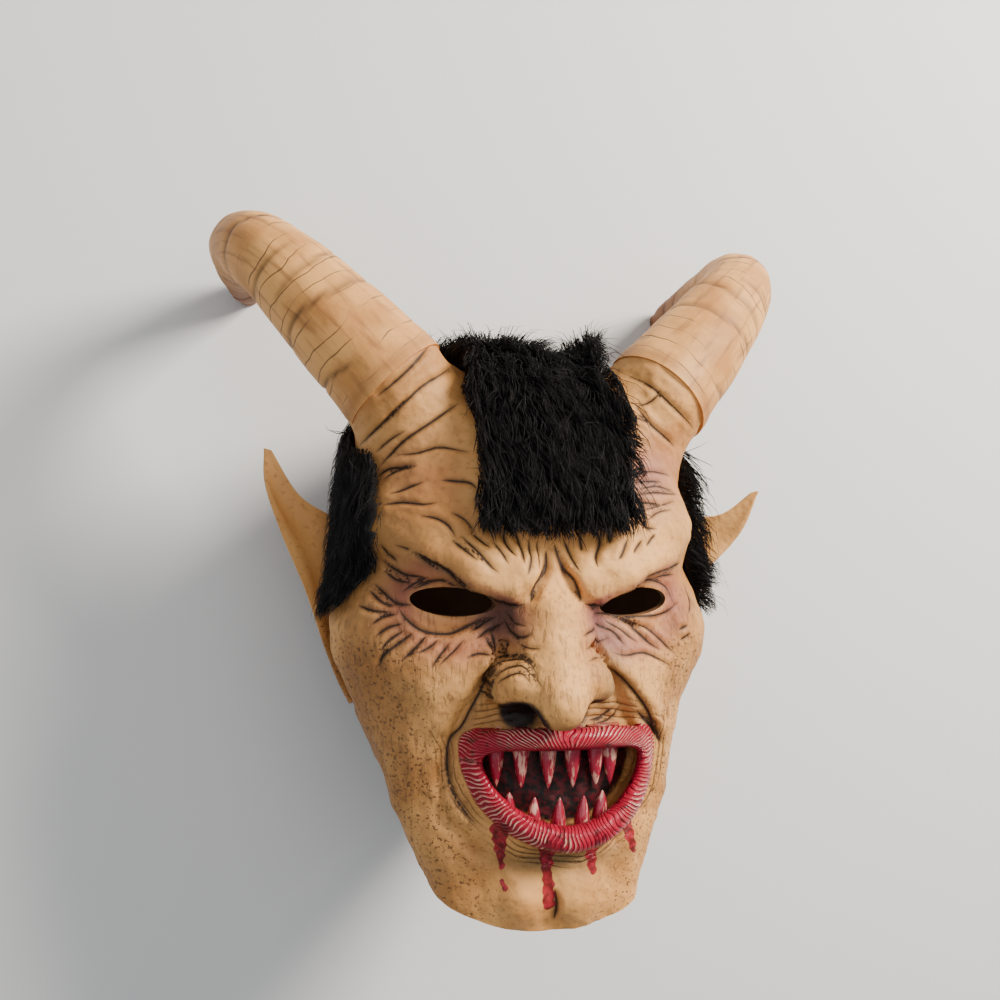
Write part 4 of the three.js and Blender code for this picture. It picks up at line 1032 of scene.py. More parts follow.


# %% [markdown]
# Wrinkles. On a real casting they were cut into the clay one by one, so here each is a line of its own:
# frown lines that fall from the fur to the nose, folds over and under the eyes, crow's feet, and nested
# creases from the nose round the mouth. A line is a row of places on the face, in millimetres, with a
# depth. The places were picked by eye in the photo, and a small program outside this script turned them
# into millimetres on the head's form. So the numbers below are its output and not measured sizes.
#
# The mesh gets a groove with a small swelling on both sides of it. The material draws the dark brown in
# it, sharp, from three numbers in the mesh: how far to a line's side a point lies, how far it is from
# the nearest line, and how deep that line is. That brown is partly paint and partly painted shade, and
# the line drawn along each fold's edge is a painted shadow.

# %% Wrinkle lines
WRINKLES = [
    # depth in millimetres, and x y z of each point of the line
    (1, "-75 55 45  -70 59 53  -60 59 62"), (0.8, "-68 65 55  -59 66 61  -50 69 65  -36 67 70"),
    (1, "-50 54 70  -44 54 73  -37 53 75  -34 50 77"), (1, "-74 42 59  -66 44 65  -57 43 70  -51 44 72"),
    (0.8, "-71 47 59  -64 50 63  -56 53 67"), (1, "-59 38 71  -52 37 74  -47 34 77  -44 29 79"),
    (1.1, "-46 28 79  -41 24 82  -35 19 85"), (1.2, "-42 30 80  -35 23 84  -29 16 87  -26 14 87"),
    (0.9, "-38 32 79  -33 28 82  -29 25 84"), (1, "-36 47 77  -32 40 78  -28 31 80"),
    (0.7, "-46 40 75  -40 37 78  -35 31 80"), (1.2, "-23 33 80  -22 27 82  -18 21 85"),
    (1.1, "-17 32 80  -15 25 82  -15 18 88"), (1.2, "-11 29 80  -11 21 84  -14 13 89"),
    (0.9, "-28 28 82  -24 22 85  -22 18 87"), (0.8, "-7 29 80  -7 22 82  -9 15 86"),
    (2.2, "-3 24 80  -4 16 83  -8 9 85  -12 1 86"), (2.2, "1 27 80  4 17 82  8 10 86  13 1 85"),
    (1.1, "5 30 80  8 21 82  11 14 88"), (1.1, "13 31 80  13 24 83"),
    (1.4, "21 33 80  22 28 81  19 22 85  19 17 88"), (0.9, "28 32 80  26 27 82"),
    (1.2, "36 30 81  32 23 84  29 20 86"), (1, "43 29 80  38 23 83"), (0.9, "51 32 77  45 26 80"),
    (0.9, "43 40 76  46 35 77  52 34 75"), (0.7, "47 38 76  55 42 72  63 43 67"),
    (1.3, "-73 18 56  -69 14 60  -62 11 65  -56 11 70"), (1.1, "-72 13 56  -67 9 61  -60 8 65"),
    (1.2, "-76 7 54  -71 2 61  -67 -1 64  -60 -2 66"), (0.8, "-69 25 65  -61 22 70  -52 15 75"),
    (0.9, "-74 25 59  -71 20 60  -67 17 63"), (1.2, "-78 4 54  -73 -1 61  -68 -3 64"),
    (1, "-83 -3 54  -76 -5 61  -70 -5 64"), (1.1, "-78 -11 62  -73 -7 64  -67 -6 65"),
    (1.1, "-76 -16 63  -71 -12 65  -65 -10 67"), (1.3, "-74 -30 63  -73 -25 64  -68 -20 67  -60 -14 68"),
    (1, "-74 -23 64  -71 -18 66  -64 -13 67"), (1.2, "-65 -26 69  -60 -21 70  -54 -15 69"),
    (0.9, "-59 -23 71  -53 -20 71  -49 -17 70"), (0.9, "-53 -29 74  -49 -23 74  -44 -18 72"),
    (0.8, "-50 -28 75  -43 -21 75  -38 -16 74"),
    (1.3, "-67 -2 64  -63 -8 66  -56 -13 68  -45 -14 70  -34 -10 70  -27 -6 71"),
    (1.2, "-60 5 66  -55 8 69  -48 10 73  -39 8 73"), (0.9, "-64 4 63  -59 8 66  -54 11 71"),
    (1, "-35 -13 72  -28 -9 71  -23 -6 73"), (1, "-33 -16 75  -27 -12 73  -22 -9 77"),
    (1.2, "-26 -12 73  -25 -17 77  -21 -22 80  -18 -21 89"),
    (1.2, "-21 -7 77  -20 -11 82  -16 -14 88  -12 -12 91"), (1, "-29 -15 74  -26 -20 79  -21 -23 84"),
    (0.9, "-38 -24 78  -32 -22 78  -27 -23 80"), (0.8, "-20 -3 77  -18 -8 84  -14 -9 89"),
    (0.7, "-18 -16 86  -14 -18 92  -9 -18 95"),
    (1, "-27 -31 81  -23 -25 83  -19 -22 90  -14 -24 95  -11 -30 99"),
    (0.9, "-27 -33 85  -23 -27 89  -18 -25 94  -14 -28 98  -10 -34 102"),
    (0.8, "-21 -22 81  -16 -21 91  -11 -25 97"), (0.8, "-27 -34 89  -23 -29 94  -18 -28 97  -14 -33 99"),
    (1.1, "32 4 72  38 9 75  49 10 73  62 6 64  66 -2 64"),
    (1.1, "26 -1 72  33 -6 69  46 -7 70  60 -6 67  69 -1 63"),
    (1.3, "21 -5 77  31 -6 70  42 -11 70  52 -20 71  58 -23 71"),
    (1, "36 -7 70  49 -12 68  59 -19 70  67 -26 67"), (1, "23 -9 75  31 -13 72  37 -20 76"),
    (0.9, "28 -8 71  35 -12 71  45 -19 73"), (0.9, "30 -22 79  37 -24 78  47 -23 75  55 -26 73  64 -31 69"),
    (0.8, "11 -13 93  22 -11 78"), (0.8, "11 -19 94  23 -18 77  30 -16 75"), (0.7, "12 -24 96  25 -24 78"),
    (0.9, "68 -14 66  74 -12 64"), (0.9, "69 -19 66  76 -16 64"), (1, "77 6 54  78 -1 57  75 -7 62"),
    (1.1, "60 14 68  73 17 56"), (1, "54 11 71  67 12 61"), (0.8, "39 55 74  48 56 70  59 56 64"),
    (0.8, "40 49 75  53 51 70  70 50 58"), (0.8, "37 45 77  47 46 74  57 45 69"),
    (0.7, "41 59 72  53 61 66  66 59 57"), (0.8, "42 52 74  55 54 68  66 52 60"),
    (0.7, "43 42 75  52 44 72  66 47 63"), (1, "21 -54 74  27 -53 73  34 -48 73"),
    (0.9, "23 -56 74  32 -54 72  37 -48 71"), (1.8, "44 -50 74  52 -57 71  58 -62 68  61 -68 66"),
    (0.9, "-78 90 60  -65 102 64  -53 116 54"), (1, "-81 69 33  -73 80 56  -58 95 63  -41 107 47"),
    (1.1, "-74 59 47  -66 70 57  -53 80 62  -39 90 59"), (0.9, "-73 54 51  -64 60 59  -59 60 63"),
    (0.9, "44 108 50  53 102 60  62 94 63  80 82 54"), (1, "46 93 59  53 84 62  69 73 56"),
    (0.7, "-76 66 47  -70 72 55  -64 76 59"), (0.8, "-65 90 62  -74 78 55"),
    (0.7, "41 85 61  47 86 61  53 84 62"), (0.8, "58 99 63  53 94 61  47 92 60"),
    (1.5, "6 -129 76  7 -137 76  7 -145 73"),
]
FOLDS = [
    # height and reach of the raised flesh, and its edge: the flesh is on the right of the way it runs
    (2.9, 13, "-13 1 85  -17 0 82  -25 2 78  -36 6 75  -47 15 78  -54 19 75  -62 23 70"),
    (2.9, 13, "71 20 60  59 16 70  46 13 77  37 7 75  29 2 76  23 0 78  13 1 85"),
    (1.8, 11, "-26 -26 79  -30 -38 73  -34 -46 72  -38 -55 71  -43 -61 69  -44 -67 68  -44 -74 68  -43 -81 70"
              "  -40 -88 72  -35 -95 74  -29 -101 75"),
    (1.7, 10, "63 -69 65  58 -62 68  49 -48 75  42 -40 77  36 -34 78  27 -27 80"),
    (1.2, 7, "-26 -43 80  -29 -36 75  -27 -29 78  -22 -23 80"),
]
GROOVE_WIDE = 1.15
REACH = 6.0
HORN_ROUND_MM = 15  # millimetres for each radian round a horn


def ripple(x, y, z, size, seed, waves=8):
    """An uneven wave, mostly between -1 and 1, with bumps about size millimetres apart."""
    draw = np.random.default_rng(seed)
    total = 0
    for _ in range(waves):
        way = draw.normal(size=3)
        way *= 2 * math.pi / size * draw.uniform(0.6, 1.3) / np.linalg.norm(way)
        total = total + np.sin(x * way[0] + y * way[1] + z * way[2] + draw.uniform(0, 2 * math.pi))
    return total / math.sqrt(waves) / 1.1


def band(value, start, end, soft):
    """1 between start and end, fading to 0 over soft on both sides."""
    return smooth(value, start - soft, start) * (1 - smooth(value, end, end + soft))


def line_of(text):
    points = np.array(text.split(), float).reshape(-1, 3)
    if len(points) == 2:
        points = np.vstack([points[0], points.mean(0), points[1]])
    return curve_through(points, 4 * len(points))[0]


def beside_line(points, slope, line, reach):
    """Which points are near a line, and their distance, signed distance and share of its length."""
    near = np.nonzero(((points > line.min(0) - reach) & (points < line.max(0) + reach)).all(1))[0]
    here, up = points[near], slope[near]
    best = np.full(len(near), 1e9)
    side, share = np.zeros((2, len(near)))
    for i, (a, b) in enumerate(zip(line, line[1:])):
        u = b - a
        t = np.clip(((here - a) @ u) / (u @ u), 0, 1)
        off = here - a - t[:, None] * u
        off -= up * (off * up).sum(1)[:, None]
        gap = np.linalg.norm(off, axis=1)
        closer = gap < best
        best[closer] = gap[closer]
        side[closer] = np.sign((np.cross(u, up[closer]) * off[closer]).sum(1))
        share[closer] = (i + t[closer]) / (len(line) - 1)
    inside = best < reach
    return near[inside], best[inside], (best * side)[inside], share[inside]


def along_wrinkles(points, slope):
    """The groove's depth, the signed and plain distance to the nearest line, and that line's depth."""
    groove, strength = np.zeros((2, len(points)))
    side, nearest = np.full((2, len(points)), REACH)
    for depth, text in WRINKLES:
        near, gap, signed, share = beside_line(points, slope, line_of(text), REACH)
        taper = np.clip(np.minimum(share, 1 - share) / 0.3, 0, 1) ** 0.7
        wide = GROOVE_WIDE * (0.75 + 0.35 * depth)
        shape = np.exp(-((gap / wide) ** 2)) - 0.32 * np.exp(-(((gap - 2.3 * wide) / wide) ** 2))
        groove[near] += depth * taper * shape
        won = gap < nearest[near]
        nearest[near[won]] = gap[won]
        side[near[won]] = signed[won]
        strength[near[won]] = (depth * taper)[won]
    return groove, side, nearest, strength * np.exp(-((nearest / 1.5) ** 2))


def along_folds(points):
    """How far folds stand out, the painted shade under them, and their edge's signed distance and strength.
    """
    ahead = np.tile([0.0, 0.0, 1.0], (len(points), 1))
    rise, dark, strength = np.zeros((3, len(points)))
    side = np.full(len(points), REACH)
    for height, reach, text in FOLDS:
        near, _, signed, share = beside_line(points, ahead, line_of(text), reach)
        taper = smooth(np.minimum(share, 1 - share), 0, 0.16)
        edge = np.exp(-(((signed + 0.8) / 1.5) ** 2))
        body = smooth(signed, -0.8, 1.2) * (1 - smooth(signed, 0.3 * reach, reach))
        rise[near] += height * taper * (body - 0.35 * edge)
        # The shade under a fold is painted: darkest along its edge, and fading over about 7 mm below it.
        under = np.maximum(0.8 * edge, 0.6 * smooth(signed, -7, -0.5) * (signed < 0))
        dark[near] = np.maximum(dark[near], taper * under * min(1, 0.4 * height))
        won = np.abs(signed + 0.5) < np.abs(side[near])
        side[near[won]] = (signed + 0.5)[won]
        strength[near[won]] = (0.65 * height * taper)[won]
    return rise, dark, side, strength * np.exp(-((side / 1.5) ** 2))


def fine_lines(x, y, z):
    """Numbers and strength of the many fine lines that run parallel to the lips."""
    outline = mouth_outline(x, y)
    left = 0.7 * band(outline, 8, 14, 2) * (1 - smooth(x, -34, -24)) * band(y, -98, -60, 6)
    right = band(outline, 8, 13, 2) * smooth(x, 40, 50) * band(y, -98, -56, 6)
    under = band(outline, 6.5, 15, 1.5) * (1 - smooth(np.abs(x - 5), 26, 40)) * (1 - smooth(y, -108, -100))
    nose = band(outline, 7, 14, 2) * (band(-x, 16, 30, 5) + band(x, 14, 42, 5)) * smooth(y, -62, -55) * 0.8
    bend = 0.35 * ripple(x, y, z, 24, 3) + 0.1 * ripple(x, y, z, 7, 4)
    return outline / 2.6 + bend, np.clip(left + right + under + nose, 0, 1) * smooth(z, 40, 55)


def horn_nearest(points):
    """For each point: distance to the nearer horn's middle line, place along it, and angle round it."""
    folded = np.abs(points[:, 0])[:, None] * [1, 0, 0] + points * [0, 1, 1]
    best = np.full(len(points), 1e9)
    share = np.zeros(len(points))
    for i in range(0, len(HORN_LINE), 4):
        gap = np.linalg.norm(folded - HORN_LINE[i], axis=1)
        closer = gap < best
        best[closer] = gap[closer]
        share[closer] = i / (len(HORN_LINE) - 1)
    middle, across, beside = horn_frame(share)
    out = folded - middle
    angle = np.arctan2((out * beside).sum(1), (out * across).sum(1))
    forward = HORN_ALONG[np.round(share * (len(HORN_LINE) - 1)).astype(int)]
    return best, share * HORN_LENGTH + (out * forward).sum(1), angle


print(len(WRINKLES), "wrinkle lines")

# %% [markdown]
# The relief moves the vertices of the outer skin along the form's slope. It fades out at the lips and
# the eye holes. The horns get shallow creases round them that slant a little, each with its own place.
# Then the whole mesh is thinned where it is smooth, to stay under 200,000 triangles.

# %% Relief in the mesh
HORN_CREASES = [14, 40, 57, 74, 96, 112, 133, 151, 170, 188]
MOST_TRIANGLES = 190000
DEEPEST = 1.9
BUMPS = [(0.42, 16, 7), (0.17, 6, 8)]  # height, size and seed


def horn_relief(along, angle):
    groove = np.zeros(len(along))
    for i, place in enumerate(HORN_CREASES):
        slant = 3.4 * np.sin(angle + 1.7 * i) + 1.2 * np.sin(3 * angle + i)
        part = smooth(np.sin(angle + 2.1 * i) + 0.5 * np.sin(2 * angle + i), -0.9, 0.1)
        groove = np.maximum(groove, part * np.exp(-(((along - place - slant) / 1.2) ** 2)))
    return groove


places = to_mask(vertices_of(casting))
skin_gap, slope = slope_of(head_skin, places)
slope /= np.maximum(np.linalg.norm(slope, axis=1), 0.2)[:, None]
shifted = places[:, 0] - jaw_shift(places[:, 1])
groove = along_wrinkles(places, slope)[0]
bumps = sum(height * ripple(*places.T, size, seed) for height, size, seed in BUMPS)
to_lip = np.hypot(mouth_outline(shifted, places[:, 1]), places[:, 2] - mouth_front(shifted)) - LIP
from_eye = eye_outline(np.abs(shifted), places[:, 1])
calm = smooth(to_lip, 0.5, 2.5)
folds = along_folds(places)[0]
number, strength = fine_lines(shifted, places[:, 1], places[:, 2])
fine = 0.45 * strength * np.cos(2 * math.pi * number)
chin = 1.3 * np.exp(-(((np.abs(shifted + 1) - 12) / 8) ** 2) - ((places[:, 1] + 131) / 9) ** 2)
rise = (bumps + chin - fine - DEEPEST * np.tanh(groove / DEEPEST)) * smooth(from_eye, 1.5, 5)
rise = (rise + folds * smooth(from_eye, 0, 2)) * calm
nearest, along, angle = horn_nearest(places)
horn_radius = through(HORN_ROWS, along / HORN_LENGTH, 1)
on_horn = (np.abs(nearest - horn_radius) < 0.8) & (skin_gap > 0.2) & (along > 0)
rise *= smooth(np.abs(nearest - horn_radius) + 8 * (along < -1), 0, 3)
move = np.where(np.abs(skin_gap) < 0.5, rise, 0)[:, None] * slope
middle = horn_frame(along / HORN_LENGTH)[0]
outward = places - middle * np.where(places[:, :1] < 0, [-1, 1, 1], [1, 1, 1])
outward /= np.maximum(np.linalg.norm(outward, axis=1), 1)[:, None]
swell = 0.3 * ripple(along, HORN_ROUND_MM * angle, 0, 30, 5) + 0.14 * np.sin(9 * angle + 0.02 * along)
fade = smooth(along, 1, 4) * smooth(places[:, 2], FLOOR_Z, FLOOR_Z + 8)
move = np.where(on_horn[:, None], outward * ((swell - 0.9 * horn_relief(along, angle)) * fade)[:, None], move)
set_vertices(casting, to_frame(places + move))

only(casting)
if triangle_count(casting) > MOST_TRIANGLES:
    thin = casting.modifiers.new("thin", "DECIMATE")
    thin.ratio = MOST_TRIANGLES / triangle_count(casting)
    bpy.ops.object.modifier_apply(modifier=thin.name)
bpy.ops.object.shade_smooth_by_angle(angle=math.radians(55))
print("mask", triangle_count(casting), "triangles")

# %% [markdown]
# Now the paint's map: numbers that are worked out for each vertex from its place and kept in the mesh,
# where the materials read them. Pink round the eyes, mauve at the nose's root and on one side of the
# forehead, olive under the nose and lip, pale brows and nose, red on the lips and in four drips. The
# pale brows, nose, cheek apples and ears are a painted highlight. The brown in the wrinkles and on the
# face's sides is partly painted shade, and there is painted shade under the folds, at the inner eye
# corners, down the left side, beside the nose and in the nostrils.

# %% The paint's map
LIP_LINE_MM = 2.0
DRIPS = [
    # start, its half width, end, its half width; the first two pairs make one drip each
    [(-21.5, -99, 0), 3.6, (-19, -118, 0), 1.1],
    [(-18.5, -124, 0), 1.0, (-18, -127, 0), 1.3],
    [(0.5, -104, 0), 4.6, (2, -122, 0), 2.2],
    [(2.5, -124, 0), 2.4, (3.5, -136, 0), 3.0],
    [(22, -104, 0), 4.2, (24, -122, 0), 1.9],
    [(41, -100, 0), 3.2, (46.5, -116, 0), 1.6],
]


def spot(x, y, centre, wide, tall):
    return np.exp(-(((x - centre[0]) / wide) ** 2) - ((y - centre[1]) / tall) ** 2)


def lip_length(x, y):
    """Millimetres along the lips, from the angle round the mouth."""
    angle = np.linspace(-math.pi, math.pi, 721)
    power = np.where(np.sin(angle) > 0, 2.4, 1.85)
    px = MOUTH["half"] * np.sign(np.cos(angle)) * np.abs(np.cos(angle)) ** (2 / power)
    tall = np.where(np.sin(angle) > 0, MOUTH["up"], MOUTH["down"])
    py = tall * np.sign(np.sin(angle)) * np.abs(np.sin(angle)) ** (2 / power)
    arc = np.concatenate([[0], np.cumsum(np.hypot(np.diff(px), np.diff(py)))])
    dx, dy = x - MOUTH["x"], y - MOUTH["y"] - MOUTH["lift"] * ((x - MOUTH["x"]) / MOUTH["half"]) ** 2
    return np.interp(np.arctan2(dy, dx), np.unwrap(np.arctan2(py, px)), arc)


def paint_map(points):
    x, y, z = (points - jaw_shift(points[:, 1])[:, None] * [1, 0, 0]).T
    ax = np.abs(x)
    gap, slope = slope_of(head_skin, points)
    slope /= np.maximum(np.linalg.norm(slope, axis=1), 0.2)[:, None]
    groove, side, apart, strength = along_wrinkles(points, slope)
    _, dark, edge_side, edge_strength = along_folds(points)
    at_edge = np.abs(edge_side) < apart
    fine_number, fine_strength = fine_lines(x, y, z)
    on_skin = gap < 2.5
    eye_r = np.hypot(ax - EYE["x"], 1.3 * (y + 1))
    brow = np.exp(-((roll(ax, y, z, BROW) / 2.5) ** 2)) * smooth(y, 4, 12)
    nose = np.exp(-((bar(x, y, z, [0, 5, 80], 7, [0, -40, 96], 11) / 3.0) ** 2))
    # The inner eye corners, under the brows' overhang, get a painted shadow.
    corner = spot(ax, y, (23, -8), 8, 10)
    nostril = 1 - smooth(ellipsoid(ax, y, z, [13, -48.5, 87], [12, 8.5, 16]), 0.3, 2.4)
    outline, ahead = mouth_outline(x, y), z - mouth_front(x)
    _, along, angle = horn_nearest(points)
    wave = points[:, 0] + 0.5 * np.sin(1.3 * y)
    drips = np.minimum.reduce([bar(wave, y, 0 * z, a, ra, b, rb) for a, ra, b, rb in DRIPS])
    lid = np.exp(-(((eye_outline(ax, y) - 2.5) / 3.0) ** 2)) * smooth(z, 50, 60)
    # The face's sides towards the ears: brown paint and painted shade where they turn from the light.
    side_brown_and_shade = band(ax, 66, 84, 10) * band(y, -90, 30, 40)
    ear = smooth(ax, 86, 96) * band(y, -20, 60, 12)
    above = y - 2 - 0.42 * (ax - 20)
    return {
        "line_side": np.where(at_edge, edge_side, side),
        "line_gap": np.minimum(apart, np.abs(edge_side)),
        "line_strength": np.where(at_edge, edge_strength, strength) * on_skin,
        # Brown wiped into wrinkles, plus painted shade under folds, at the eye corners and on the left side.
        "wash": np.clip(0.45 * np.clip(groove, 0, 1.4) + 0.9 * dark + 0.3 * corner + 0.22 * side_brown_and_shade
                        + 0.6 * spot(x, y, (-23, -6), 9, 9) + 0.24 * smooth(-x, 6, 52) * (1 - ear)
                        + 0.3 * smooth(-outline, -1, 1.5) + 0.12 * fine_strength, 0, 0.92),
        # The nostrils are painted near black: a painted shade.
        "deep": np.clip(nostril, 0, 1) * (y < -40) * (ax < 30),
        "fine_number": fine_number,
        "fine_strength": fine_strength * on_skin,
        # Lighter tan on brows, nose, cheek apples and ears: a painted highlight; on the lids, their pale rim.
        "pale": np.clip(0.95 * brow + 0.85 * nose + 0.4 * spot(ax, y, (44, -34), 16, 12) + 0.5 * lid
                        + 0.7 * ear, 0, 1),
        "pink": np.clip((0.75 * np.exp(-(((eye_r - 25) / 9) ** 2)) + 0.4 * lid) * (1 - smooth(above, -1, 3))
                        * smooth(z, 30, 50)
                        + 0.35 * spot(ax, y, (60, 60), 20, 16), 0, 1),
        "mauve": np.clip(0.6 * spot(x, y, (48, 56), 17, 16) + 0.6 * spot(ax, y, (24, -7), 8, 9)
                         + 0.45 * spot(x, y, (33, -18), 12, 8), 0, 1),
        # Olive paint under the nose and lip; the patch in the hollow right of the nose is painted shade.
        "olive": np.clip(0.55 * spot(x, y, (0, -55), 32, 6) + 0.7 * spot(x, y, (28, -34), 8, 16)
                         + 0.8 * spot(x, y, (5, -116), 38, 6.5), 0, 1),
        "pitted": band(y, -150, -22, 12) * smooth(ax - 0.3 * (y + 60), 34, 60),
        "streaked": band(y, -96, 2, 12) * smooth(z, 20, 45) * smooth(to_mouth(x, y), 3, 9),
        "lip_mm": np.hypot(outline, ahead) - LIP,
        "lip_number": lip_length(x, y) / LIP_LINE_MM + 0.5 * ripple(*points.T, 9, 21),
        # The lips' front, where their pale red is a painted highlight.
        "lip_crest": smooth(ahead, -3, 1.5) * smooth(outline, -3.5, -0.5),
        "mouth": smooth(-outline, 2.2, 4.2) * smooth(-ahead, 2.5, 5.5),
        "blood_mm": np.where(z > 40, drips, 20),
        "horn_along": along,
        "horn_around": HORN_ROUND_MM * angle,
        "horn_dark": np.clip(smooth(along, 100, 195) * 0.95 + 0.4 * np.exp(-((along / 3) ** 2)), 0, 1),
    }


def to_mouth(x, y):
    return mouth_outline(x, y) - LIP


def store(thing, values):
    for name, value in values.items():
        kept = thing.data.attributes.new(name, "FLOAT", "POINT")
        kept.data.foreach_set("value", np.asarray(value, np.float32))


painted = to_mask(vertices_of(casting))
values = paint_map(painted)
is_horn = np.zeros(len(painted), bool)
horn_slot = [m.name for m in casting.data.materials].index(latex_horn.name)
for polygon in casting.data.polygons:
    if polygon.material_index == horn_slot:
        is_horn[list(polygon.vertices)] = True
creases = horn_relief(values["horn_along"], values["horn_around"] / HORN_ROUND_MM)
values["wash"] = np.where(is_horn, creases, values["wash"])
store(casting, values)
print("paint:", {name: (round(float(v.min()), 2), round(float(v.max()), 2)) for name, v in values.items()})

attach(casting, "root")
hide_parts("latex_mask")


# %% [markdown]
# The fake fur is in three panels: a strip from the brow over the crown to the nape, and one on each
# side. Real fake fur is a knitted backing with a pile of loose hairs. Here the backing is a thin dark
# shell, and the pile is thousands of closed, pointed strands. A mesh strand is used and no particle
# hair, because only mesh can be kept with the part. Strands lean along a comb direction, gather in
# locks, and end near the panel's edge, except for some stray ones. They shine more than the backing.

# %% The panels' outlines
FUR_TOP = "1b1719"
FUR_DARK = "080607"
SEAM_X, FRONT_X, FRINGE_Y, NAPE_FUR_Y = 45, 40, 33, -106
LEFT_EDGE = [-40, -15, 10, 45, 62], [46, 38, 44, 47, 35]
TEMPLE = dict(left=57, right=47, low=-8, back=-70, middle=30, round=0.008)
EAR_HOLE = dict(z=-24, y=-20, wide=20, tall=44)
HEAD_BOX = np.array([-110, -118, -122]), np.array([110, 112, 86])
FAR = 300  # past the end of anything on the head


def flat_box(u, v, u_range, v_range):
    return np.maximum(np.maximum(u_range[0] - u, u - u_range[1]), np.maximum(v_range[0] - v, v - v_range[1]))


def crown_panel(x, y, z):
    """Negative on the crown's strip."""
    right = np.interp(z, [20, 60], [SEAM_X, FRONT_X])
    left = np.interp(z, *LEFT_EDGE)
    fringe = np.where(z > 0, FRINGE_Y + 0.002 * x**2 - y, -1000)
    return np.maximum.reduce([x - right, -x - left, fringe, NAPE_FUR_Y - y])


def side_panel(side):
    def panel(x, y, z):
        front = TEMPLE["left"] if side < 0 else TEMPLE["right"]
        front = front - TEMPLE["round"] * (y - TEMPLE["middle"]) ** 2
        temple = flat_box(z, y, [TEMPLE["back"], front], [TEMPLE["low"], FAR])
        nape = flat_box(z, y, [-160, -46], [NAPE_FUR_Y, FAR])
        ear = np.hypot((z - EAR_HOLE["z"]) / EAR_HOLE["wide"], (y - EAR_HOLE["y"]) / EAR_HOLE["tall"]) - 1
        covered = np.maximum(np.minimum(temple, nape), -ear * EAR_HOLE["wide"])
        return np.maximum(covered, SEAM_X - side * x)
    return panel


def fur_black():
    material, tree = new_material("fake_fur_black_modacrylic")
    mapped = {name: add(tree, "Attribute", out="Fac", attribute_name=name) for name in ("strand", "tip")}
    strand, tip = mapped["strand"], mapped["tip"]
    # Lighter strands and lighter tips stand in for the sheen on the near-black fur: a painted sheen.
    tone = add(tree, "Mix", {
        0: add(tree, "Math", {
            0: strand, 1: add(tree, "Math", {0: tip, 1: 0.6, 2: 0.4}, operation="MULTIPLY_ADD")},
            operation="MULTIPLY"),
        6: FUR_DARK, 7: FUR_TOP}, **PAINT_OVER)
    shader = add(tree, "BsdfPrincipled", {
        "Base Color": tone,
        "Roughness": add(tree, "Math", {0: strand, 1: -0.45, 2: 0.95}, operation="MULTIPLY_ADD"),
        "Specular IOR Level": 0.3})
    add(tree, "OutputMaterial", {"Surface": shader})
    return material


fur_material = fur_black()

# %% [markdown]
# A strand starts in the backing and is laid out in three steps along the comb direction. After each step
# it is set to its own height over the skin, so the fur follows the head and never sinks into it.

# %% Laying out strands
STRAND_RINGS = 3
STRAND_TAPER = np.array([1.0, 0.9, 0.65])
ROOT_HEIGHT = 2.5
BACKING_TOP, BACKING_UNDER, BACKING_CELL, PATCH_CELL = 4.0, 1.4, 5.0, 6.0
OFF_HORNS = dict(backing=5, strand=0.6)
STRAYS, LOCK_STRANDS, SPARE = 0.05, 24, 1.25  # share of strays, strands in a lock, roots for each strand
HALF_WIDTH = 0.22, 0.36


def off_horns(points):
    """Distance from the horns' surface, roughly."""
    nearest, along, _ = horn_nearest(points)
    return nearest - through(HORN_ROWS, np.clip(along / HORN_LENGTH, 0, 1), 1)


def sit_at(points, height):
    """Moves points along the skin's slope to a height over it."""
    for _ in range(2):
        here, slope = slope_of(head_skin, points)
        size = np.maximum((slope**2).sum(1), 0.3)
        points = points - slope * ((here - height) / size)[:, None]
    return points


def paths_of(roots, comb, length, height, wander):
    """Each strand's places: its root and one more after each step."""
    path = [sit_at(roots, ROOT_HEIGHT)]
    for step in range(1, STRAND_RINGS + 1):
        here = path[-1]
        _, slope = slope_of(head_skin, here)
        slope /= np.maximum(np.linalg.norm(slope, axis=1), 0.2)[:, None]
        way = comb(here) + wander
        way -= slope * (way * slope).sum(1)[:, None]
        way /= np.maximum(np.linalg.norm(way, axis=1), 0.05)[:, None]
        share = min(1.0, 1.35 * step / STRAND_RINGS)
        rise = ROOT_HEIGHT + (height - ROOT_HEIGHT) * math.sin(share * math.pi / 2)
        path.append(sit_at(here + way * (length / STRAND_RINGS)[:, None], rise))
    return np.stack(path, 1)


def strands_mesh(paths, width):
    """Closed, flattened, three-sided strands along the paths."""
    count, rows = paths.shape[:2]
    along = np.gradient(paths, axis=1)
    along /= np.maximum(np.linalg.norm(along, axis=2), 1e-6)[:, :, None]
    _, slope = slope_of(head_skin, paths.reshape(-1, 3))
    up = slope.reshape(count, rows, 3)
    across = np.cross(along, up)
    across /= np.maximum(np.linalg.norm(across, axis=2), 1e-6)[:, :, None]
    up = np.cross(across, along)
    rings = []
    for turn in (90, 210, 330):
        a = math.radians(turn)
        offset = across * math.cos(a) + up * math.sin(a) * 0.5
        rings.append(paths[:, :-1] + offset[:, :-1] * (width[:, None] * STRAND_TAPER)[:, :, None])
    body = np.stack(rings, 2).reshape(count, -1, 3)
    points = np.concatenate([body, paths[:, -1:]], 1)
    tip = 3 * (rows - 1)
    faces = [[0, 2, 1]]
    for row in range(rows - 2):
        for corner in range(3):
            a, b = 3 * row + corner, 3 * row + (corner + 1) % 3
            faces += [[a, b, b + 3], [a, b + 3, a + 3]]
    last = 3 * (rows - 2)
    faces += [[last, last + 1, tip], [last + 1, last + 2, tip], [last + 2, last, tip]]
    stride = points.shape[1]
    all_faces = (np.array(faces)[None] + (np.arange(count) * stride)[:, None, None]).reshape(-1, 3)
    shares = np.concatenate([np.repeat(np.arange(rows - 1) / (rows - 1), 3), [1.0]])
    return points.reshape(-1, 3), all_faces, np.tile(shares, count), stride


